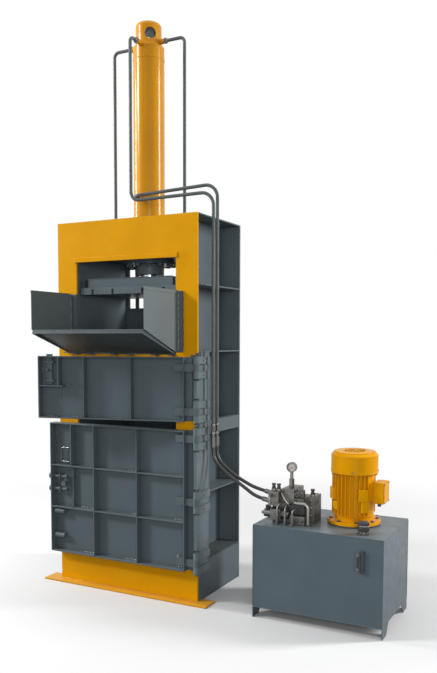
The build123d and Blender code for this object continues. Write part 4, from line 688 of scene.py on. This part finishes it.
# Welds that ride on the ram
BOX_X = 428
BOX_FOOT = 2602
platen_seams = Detail("platen_seams", "ram", "grey_paint")
platen_seams.bead((-BOX_X, 65, BOX_FOOT), (BOX_X, 65, BOX_FOOT))
for side in SIDES:
    platen_seams.bead((side * BOX_X, 70, BOX_FOOT), (side * BOX_X, 705, BOX_FOOT))
platen_seams.hoop(CYLINDER_AT + Z * 2701, Z, 77, 3.5, 48)
platen_seams.made()

# Grease nipples on the hinge lugs
NIPPLE = ((3, 0), (2.4, 3), (3.6, 5), (3.6, 7), (2.2, 9), (0.6, 9.6))
nipples = Detail("hinge_nipples", "frame", "zinc")
for hinge_z in HINGE_ZS:
    for lug_z in lug_feet(hinge_z):
        nipples.hexagon((748.5, 20, lug_z + 27), X, 6.5, 5)
        nipples.turned((753, 20, lug_z + 27), X, NIPPLE, 14)
nipples.made()

# Doors: weld runs in the cells, and stitches where the ribs meet the skins
PIN = (722, -55)
OPEN = radians(13)
SKIN_N = -40.5
SPOT_N = -34
UPPER_ZS = (1508, 2005)
LOWER_ZS = ((281, 667), (677, 1040), (1050, 1412))
LEG_ZS = (1074, 1198)


def on_upper(u, n, z):
    """A point of the upper door as it stands open: u from the pin, n outwards."""
    return (PIN[0] - cos(OPEN) * u + sin(OPEN) * n, PIN[1] - sin(OPEN) * u - cos(OPEN) * n, z)


def on_lower(u, n, z):
    """A point of the lower door, which is shut: u from the pin, n outwards."""
    return (PIN[0] - u, PIN[1] - n, z)


def cell_welds(piece, place, us, zs, length, gap):
    """Stitches along the four sides of one cell, and beads up its corners."""
    left, right = us
    foot, head = zs
    for z in (foot + 1, head - 1):
        piece.stitches(place(left + 4, SKIN_N, z), place(right - 4, SKIN_N, z), length, gap)
    for u in (left + 1, right - 1):
        piece.stitches(place(u, SKIN_N, foot + 6), place(u, SKIN_N, head - 6), length, gap)
    for u in (left + 3, right - 3):
        for z in (foot + 3, head - 3):
            piece.bead(place(u, SKIN_N + 2, z), place(u, 24, z), 3.2)


upper_seams = Detail("upper_door_seams", "upper_door", "grey_paint")
for us, zs in (
    ((109, 547), UPPER_ZS),
    ((557, 957), UPPER_ZS),
    ((967, 1362), (1508, 1752)),
    ((1196, 1362), UPPER_ZS),
):
    cell_welds(upper_seams, on_upper, us, zs, 48, 62)
cell_welds(upper_seams, on_upper, (967, 1186), (1772, 2005), 40, 50)
for knob_u in (1150, 1196, 1362):
    upper_seams.bead(on_upper(knob_u, 26, 1761), on_upper(knob_u + 12, 28, 1761), 5.0)
upper_seams.made()

lower_seams = Detail("lower_door_seams", "lower_door", "grey_paint")
for zs in LOWER_ZS:
    last_u = 1460 if zs == LOWER_ZS[0] else 1238
    for us in ((109, 554), (564, 995), (1005, last_u)):
        cell_welds(lower_seams, on_lower, us, zs, 52, 70)
cell_welds(lower_seams, on_lower, (1248, 1460), LOWER_ZS[2], 45, 60)
for stud_z in (414, 631):
    lower_seams.hoop(on_lower(1371, -40, stud_z), Y, 17, 4.0, 20)
    lower_seams.hoop(on_lower(1431, 0, stud_z), X, 21.5, 1.6, 28)
for leg_z in LEG_ZS:
    lower_seams.hoop(on_lower(1290, -41, leg_z), Y, 8.5, 2.6, 20)
lower_seams.made()

# Weld spots at the foot of the cells in a bright steel that paints their glints, and painted highlight lines
# on the pull handle
SPOT_Z = UPPER_ZS[0] + 2
upper_glints = Detail("upper_door_glint_spots", "upper_door", "zinc", weld_glint_steel)
for left, right in ((109, 547), (557, 957), (967, 1362)):
    runs = ((left + 6, left + 120, 14, 15, 5.2), (right - 90, right - 40, 10, 16, 3.6))
    for from_u, to_u, length, gap, radius in runs:
        start = on_upper(from_u, SPOT_N, SPOT_Z)
        end = on_upper(to_u, SPOT_N, SPOT_Z)
        upper_glints.stitches(start, end, length, gap, radius)
upper_glints.made()
lower_glints = Detail("lower_door_glint_spots", "lower_door", "zinc", weld_glint_steel)
for foot, _ in LOWER_ZS:
    for left in (109, 564, 1005):
        reach = rng.uniform(70, 190)
        start = on_lower(left + 6, SPOT_N, foot + 3)
        end = on_lower(left + reach, SPOT_N, foot + 3)
        lower_glints.stitches(start, end, 14, 15, 5.2)
        lower_glints.bead(on_lower(left + 4, -30, foot + 4), on_lower(left + 4, -14, foot + 4))
# Painted highlight lines along the tops of the pull handle's legs.
for leg_z in LEG_ZS:
    lower_glints.swept((on_lower(1296, -6, leg_z + 5), on_lower(1364, -6, leg_z + 5)), 2.4, 8)
lower_glints.made()

door_plug = Detail("lower_door_plug", "lower_door", "zinc")
door_plug.turned(on_lower(196, -42, 368), -Y, ((13, 0), (13, 5), (10, 8), (4, 8.5)))
door_plug.hexagon(on_lower(196, -50, 368), -Y, 7, 6)
door_plug.made()

# Hydraulic fittings on the pipes
NUT_H = 20
CRIMP_R = 18.0
fittings = Detail("pipe_fittings", "frame", "fitting_steel")
for base, axis in (
    ((10, 190, 4660), -Y),
    ((-5, 215, 3372), -Y),
    ((162, 393, 4700), X),
    ((-162, 393, 4684), -X),
):
    fittings.hexagon(base, axis, 25, NUT_H)
    fittings.turned(Vector(base) + NUT_H * axis, axis, ((19, 0), (19, 6), (15.5, 11)), 28)
for drop_y in PIPE_YS:
    fittings.turned((HOSE_X, drop_y, 1459), Z, ((19, 0), (19, 9), (16, 14)), 28)
    fittings.hexagon((HOSE_X, drop_y, 1388), Z, 19, 18)
    fittings.turned((HOSE_X, drop_y, 1406), Z, ((15, 0), (17, 3), (17, 12)), 28)
    for ring_z in range(1292, 1353, 12):
        fittings.hoop((HOSE_X, drop_y, ring_z), Z, CRIMP_R, 1.6, 32)
for side in SIDES:
    fittings.turned((side * 357, 393, 2941), Z, ((19, 0), (19, 8), (15.5, 13)), 28)
for start, end in (((1240, 92, 905), (1291, 92, 895.3)), ((1232, 160, 953), (1291, 160, 942.2))):
    run = Vector(end) - Vector(start)
    for share in (0.08, 0.24, 0.40, 0.56, 0.72):
        fittings.hoop(Vector(start) + run * share, run, CRIMP_R, 1.5, 32)
fittings.made()

# Valve group: fittings, plugs, small tubes, coil connectors and the dial's marks
valve_steel = Detail("valve_fittings", "frame", "fitting_steel")
for knob_x in (1322, 1364):
    valve_steel.hexagon((knob_x, 120, 974.5), Z, 15, 8)
valve_steel.hexagon((1614, 205, 939.5), Z, 14, 7)
for x, z in ((1322, 892), (1364, 892), (1364, 948)):
    valve_steel.plug((x, 58, z), -Y, 13)
valve_steel.hexagon((1326, 58.5, 946), -Y, 15, 12)
for x in (1389, 1455, 1515):
    valve_steel.hexagon((x, 24, 801.5), Z, 17, 12)
    valve_steel.turned((x, 24, 813), Z, ((12, 0), (12, 7), (8, 12)), 20)
    valve_steel.hoop((x, 24, 742), Z, 15, 2.4, 28)
for x, z in ((1402, 974), (1476, 974), (1402, 828), (1476, 828)):
    valve_steel.screw((x, 120.5, z), -Y, 7, 6)
valve_steel.plug((1438, 120, 862), -Y, 14)
for x, z in ((1606, 905), (1606, 850), (1606, 790)):
    valve_steel.plug((x, 170, z), -Y, 13)
for y, z in ((205, 885), (262, 885), (262, 800), (312, 842), (205, 800)):
    valve_steel.plug((1640, y, z), X, 12)
for x in (1500, 1540, 1580):
    valve_steel.hexagon((x, 60.5, 768), -Y, 13, 10)
    valve_steel.turned((x, 50.5, 768), -Y, ((9, 0), (9, 3), (6, 4)), 18)
for x in (1512, 1552):
    valve_steel.turned((x, 152, 955), -Y, ((19, 0), (19, 30), (17, 33), (11, 33.5), (11, 30)), 28)
    valve_steel.hexagon((x, 165, 982.5), Z, 12, 9)
valve_steel.hoop((1500, 119, 900), Y, 14, 3, 28)
valve_steel.hexagon((1500, 119.5, 900), -Y, 20, 16)
valve_steel.hexagon((1627, 70, 731.5), Z, 19, 15)
valve_steel.turned((1627, 70, 746), Z, ((15, 0), (15, 8), (13, 11)), 24)
for x in (1333, 1401):
    for y in (50, 112):
        valve_steel.screw((x, y, 841.5), Z, 5.5, 5)
valve_steel.made()

# Routes and radii of the small tubes
VALVE_TUBES = (
    ((1326, 48, 946), (1326, 26, 944), (1327, 14, 926), (1330, 16, 880), (1338, 34, 858), (1340, 60, 841)),
    ((1389, 24, 820), (1389, 24, 846), (1392, 34, 872), (1402, 70, 888), (1410, 121, 890)),
    ((1455, 24, 820), (1455, 24, 842), (1452, 40, 862), (1448, 80, 880), (1446, 121, 884)),
    ((1392, 121, 962), (1394, 98, 962), (1408, 84, 950), (1436, 82, 908), (1462, 88, 884), (1474, 121, 880)),
    ((1515, 24, 820), (1515, 24, 838), (1522, 34, 850), (1532, 60, 852), (1534, 90, 850)),
)
TUBE_RADII = (6, 6, 6, 7, 6)
adaptors = Detail("valve_adaptors", "frame", "zinc")
for y, z in zip(PIPE_YS, (894, 941)):
    adaptors.hexagon((1286, y, z), X, 21, 15)
for route, radius in zip(VALVE_TUBES, TUBE_RADII):
    adaptors.pipe(route, radius)
adaptors.made()

dial = Detail("gauge_dial", "frame", "zinc", dial_white)
dial.turned((1440, 193.2, 1154), -Y, ((34.5, 0), (34.5, 0.5), (33, 0.9)), 40)
dial.made()

DIAL_AT = Vector((1440, 191.9, 1154))
valve_dark = Detail("valve_coils", "frame", "black_plastic")
for x in (1291, 1443):
    valve_dark.slab((x - 16, 64, 829), (x + 16, 98, 864), 3)
    valve_dark.turned((x, 64.5, 846), -Y, ((9, 0), (9, 12), (6, 15)), 20)
valve_dark.slab((1493, 88, 806), (1590, 121, 890), 4)
for x in (1512, 1552):
    valve_dark.turned((x, 119.5, 955), -Y, ((11, 0), (11, 2)), 24)
for turn in range(-135, 136, 27):
    out = Vector((sin(radians(turn)), 0, cos(radians(turn))))
    valve_dark.swept((DIAL_AT + out * 27, DIAL_AT + out * 33), 1.1, 6)
valve_dark.made()

# Motor: ring lines, pads and bosses, then flange bolts, screws and a cable gland
PAD_START = 148
MOTOR_PADS = ((315, 70, (842, 932), 186), (232, 55, (852, 917), 182), (142, 55, (852, 917), 182))
motor_trim = Detail("motor_trim", "frame", "motor_paint")
for cowl_z, thick in ((1136, 2.6), (1262, 2.0)):
    motor_trim.hoop(MOTOR_AT + Z * cowl_z, Z, 181, thick, 72)
motor_trim.hoop(MOTOR_AT + Z * 1292, Z, 160, 2.6, 64)
motor_trim.hoop(MOTOR_AT + Z * 1297, Z, 92, 2.4, 56)
motor_trim.turned(MOTOR_AT + Z * 1296.5, Z, ((22, 0), (22, 2.5), (17, 5), (5, 6)), 32)
for turn, width, zs, reach in MOTOR_PADS:
    motor_trim.pad(MOTOR_AT, turn, width, zs, PAD_START, reach)
for turn in range(20, 360, 90):
    out = outward(turn)
    motor_trim.turned(MOTOR_AT + out * PAD_START + Z * 1120, out, ((14, 0), (14, 24), (11, 28)), 16)
motor_trim.hoop(MOTOR_AT + Z * 802, Z, 152, 3.0, 64)
motor_trim.hoop(MOTOR_AT + Z * 767, Z, 147, 4.0, 64)
motor_trim.made()

motor_bolts = Detail("motor_bolts", "frame", "fitting_steel")
for step in range(8):
    at = MOTOR_AT + outward(22.5 + 45 * step) * 180
    motor_bolts.turned(at + Z * 765.5, Z, ((16, 0), (16, 2.5), (15, 3)), 24)
    motor_bolts.hexagon(at + Z * 768.5, Z, 12, 9)
for turn in range(12, 360, 90):
    out = outward(turn)
    motor_bolts.turned(MOTOR_AT + out * 180.6 + Z * 1152, out, ((7, 0), (6.4, 2.4), (3.5, 4), (0.6, 4.4)), 18)
for y in (298, 422):
    for z in (923, 1062):
        motor_bolts.screw((2154.5, y, z), X, 5.5, 4)
motor_bolts.hexagon((2108, 328, 911), -Z, 17, 12)
motor_bolts.turned((2108, 328, 899), -Z, ((15, 0), (15, 8), (11, 14), (3, 15)), 24)
motor_bolts.made()

# Tank: weld lines, plates over the feet, a guard, lid screws, the filler's flange and cap, the level gauge
tank_trim = Detail("tank_seams", "frame", "tank_paint")
for x in (1228, 2249):
    for y in (-68, 680):
        tank_trim.bead((x, y, 90), (x, y, 722), THIN_BEAD)
tank_trim.bead((1230, -68, 84), (2248, -68, 84), THIN_BEAD)
tank_trim.hoop(MOTOR_AT + Z * 733, Z, 191, 3.4, 72)
tank_trim.made()

foot_plates = Detail("tank_foot_plates", "frame", "tank_paint")
for x in (1227.6, 2245.6):
    for root, tip, top in ((-20, 45, 110), (632, 567, 502)):
        outline = ((root, 0.3), (tip, 0.3), (top, 84), (root, 84))
        foot_plates.rings([[Vector((at, y, z)) for y, z in outline] for at in (x, x + 4)])
foot_plates.made()

# A guard channel beside the sight tube in the darker paint; its dark face also stands in for the shadow
# beside the gauge.
guard = Detail("gauge_guard_shadow", "frame", "dark_paint")
guard.slab((2087, -90, 474), (2113, -68.5, 640), 2)
guard.made()

lid_bolts = Detail("lid_screws", "frame", "tank_paint")
for x in (1250, 1500, 1750, 2000):
    lid_bolts.turned((x, 659, LID_SEAT), Z, ((11, 0), (11, 1.5), (10.5, 2)), 20)
    lid_bolts.hexagon((x, 659, 733.5), Z, 8, 5)
for y in (190, 430):
    lid_bolts.hexagon((1250, y, 733.5), Z, 8, 5)
lid_bolts.made()

flange = Detail("filler_flange", "frame", "fitting_steel")
flange.turned(FILLER_AT + Z * LID_SEAT, Z, ((47, 0), (47, 3), (45, 4), (33, 4.5), (32.5, 22)), 40)
for turn in range(0, 360, 60):
    flange.hexagon(FILLER_AT + outward(turn) * 42 + Z * 736.5, Z, 4.5, 3)
flange.made()

cap_grip = Detail("filler_cap_grip", "cap", "black_plastic")
for turn in range(0, 360, 18):
    cap_grip.turned(FILLER_AT + outward(turn) * 38.5 + Z * 762, Z, ((3.4, 0), (3.4, 28), (2, 30)), 8)
cap_grip.made()

cap_ring = Detail("filler_cap_ring", "cap", "chrome_rod")
cap_ring.hoop(FILLER_AT + Z * 797, Z, 40.5, 2.2, 56)
cap_ring.made()

DOME = ((38.5, 0), (37, 2.6), (32, 5.2), (24, 7.2), (12, 8.6), (2, 9.0))
cap_dome = Detail("filler_cap_dome", "cap", "black_plastic")
cap_dome.turned(FILLER_AT + Z * 821.8, Z, DOME, 48)
cap_dome.made()

GAUGE_X = 2068
gauge_bolts = Detail("level_gauge_bolts", "frame", "fitting_steel")
for z in (505, 611):
    gauge_bolts.turned((GAUGE_X, -92.5, z), -Y, ((12, 0), (12, 8), (10.5, 10), (5, 11), (1, 11.2)), 24)
gauge_bolts.made()

sight_tube = Detail("level_gauge_tube", "frame", "black_plastic")
sight_tube.turned((GAUGE_X, -96, 517), Z, ((6.5, 0), (6.5, 82)), 20)
sight_tube.made()

# Floor, backdrop and light, in metres
FLOOR_SIZE = 60.0
FLOOR_AT = (0.6, 0.3, 0)
FLOOR_SEEN = (0.77, 0.77, 0.77, 1.0)
FLOOR_BOUNCE = (0.05, 0.05, 0.05, 1.0)
WHITE = (1.0, 1.0, 1.0, 1.0)
FADE_FROM = 2.2
FADE_TO = 6.0
SOFT_LIGHT = 0.19


def light_rays(tree):
    """One for the rays that should see white: straight from the camera, or by way of gloss or glass."""
    path = tree.nodes.new("ShaderNodeLightPath")
    total = path.outputs["Is Camera Ray"]
    for name in ("Is Glossy Ray", "Is Transmission Ray"):
        either = tree.nodes.new("ShaderNodeMath")
        either.operation = "MAXIMUM"
        tree.links.new(total, either.inputs[0])
        tree.links.new(path.outputs[name], either.inputs[1])
        total = either.outputs["Value"]
    return total


def make_floor():
    """A pale floor that keeps the shadow near the object and fades to white away from it."""
    mesh = bpy.data.meshes.new("floor")
    half = FLOOR_SIZE / 2
    corners = [(-half, -half, 0), (half, -half, 0), (half, half, 0), (-half, half, 0)]
    mesh.from_pydata(corners, [], [(0, 1, 2, 3)])
    floor = bpy.data.objects.new("floor", mesh)
    floor.location = FLOOR_AT
    scene.collection.objects.link(floor)
    material = bpy.data.materials.new("floor")
    material.use_nodes = True
    tree = material.node_tree
    bsdf = tree.nodes["Principled BSDF"]
    colour = tree.nodes.new("ShaderNodeMix")
    colour.data_type = "RGBA"
    colour.inputs["A"].default_value = FLOOR_BOUNCE
    colour.inputs["B"].default_value = FLOOR_SEEN
    tree.links.new(light_rays(tree), colour.inputs["Factor"])
    tree.links.new(colour.outputs["Result"], bsdf.inputs["Base Color"])
    bsdf.inputs["Roughness"].default_value = 0.6
    bsdf.inputs["Specular IOR Level"].default_value = 0.2
    glow = tree.nodes.new("ShaderNodeEmission")
    glow.inputs["Color"].default_value = WHITE
    place = tree.nodes.new("ShaderNodeTexCoord")
    reach = tree.nodes.new("ShaderNodeVectorMath")
    reach.operation = "LENGTH"
    tree.links.new(place.outputs["Object"], reach.inputs[0])
    fade = tree.nodes.new("ShaderNodeMapRange")
    fade.interpolation_type = "SMOOTHSTEP"
    fade.inputs["From Min"].default_value = FADE_FROM
    fade.inputs["From Max"].default_value = FADE_TO
    tree.links.new(reach.outputs["Value"], fade.inputs["Value"])
    seen = tree.nodes.new("ShaderNodeMath")
    seen.operation = "MULTIPLY"
    tree.links.new(light_rays(tree), seen.inputs[0])
    tree.links.new(fade.outputs["Result"], seen.inputs[1])
    blend = tree.nodes.new("ShaderNodeMixShader")
    tree.links.new(seen.outputs["Value"], blend.inputs["Fac"])
    tree.links.new(bsdf.outputs["BSDF"], blend.inputs[1])
    tree.links.new(glow.outputs["Emission"], blend.inputs[2])
    tree.links.new(blend.outputs["Shader"], tree.nodes["Material Output"].inputs["Surface"])
    mesh.materials.append(material)


def make_world(strength):
    """White to the camera and to gloss, plain soft light to everything else."""
    world = bpy.data.worlds.new("studio")
    world.use_nodes = True
    tree = world.node_tree
    soft = tree.nodes["Background"]
    soft.inputs["Color"].default_value = WHITE
    soft.inputs["Strength"].default_value = strength
    white = tree.nodes.new("ShaderNodeBackground")
    white.inputs["Color"].default_value = WHITE
    blend = tree.nodes.new("ShaderNodeMixShader")
    tree.links.new(light_rays(tree), blend.inputs["Fac"])
    tree.links.new(soft.outputs["Background"], blend.inputs[1])
    tree.links.new(white.outputs["Background"], blend.inputs[2])
    tree.links.new(blend.outputs["Shader"], tree.nodes["World Output"].inputs["Surface"])
    scene.world = world


def make_softbox(name, place, target, width, height, power):
    """A rectangular studio lamp."""
    data = bpy.data.lights.new(name, "AREA")
    data.shape = "RECTANGLE"
    data.size = width
    data.size_y = height
    data.energy = power
    lamp = bpy.data.objects.new(name, data)
    lamp.location = place
    lamp.rotation_euler = (Vector(target) - Vector(place)).to_track_quat("-Z", "Y").to_euler()
    lamp.visible_camera = False
    scene.collection.objects.link(lamp)


make_floor()
make_world(SOFT_LIGHT)
make_softbox("left_strip", (-6.0, -0.7, 3.6), (0.0, 0.3, 3.2), 0.6, 5.5, 440)
make_softbox("right_strip", (7.8, 3.8, 5.2), (0.8, 0.3, 2.4), 1.4, 4.2, 620)
make_softbox("front_right", (5.6, -8.0, 2.8), (0.5, 0.0, 1.8), 3.2, 3.4, 340)
make_softbox("key", (-10.4, -7.4, 8.8), (0.6, 0.0, 1.4), 2.6, 2.6, 1250)
make_softbox("top", (0.5, -1.5, 9.0), (0.5, 0.2, 2.0), 5.0, 5.0, 110)
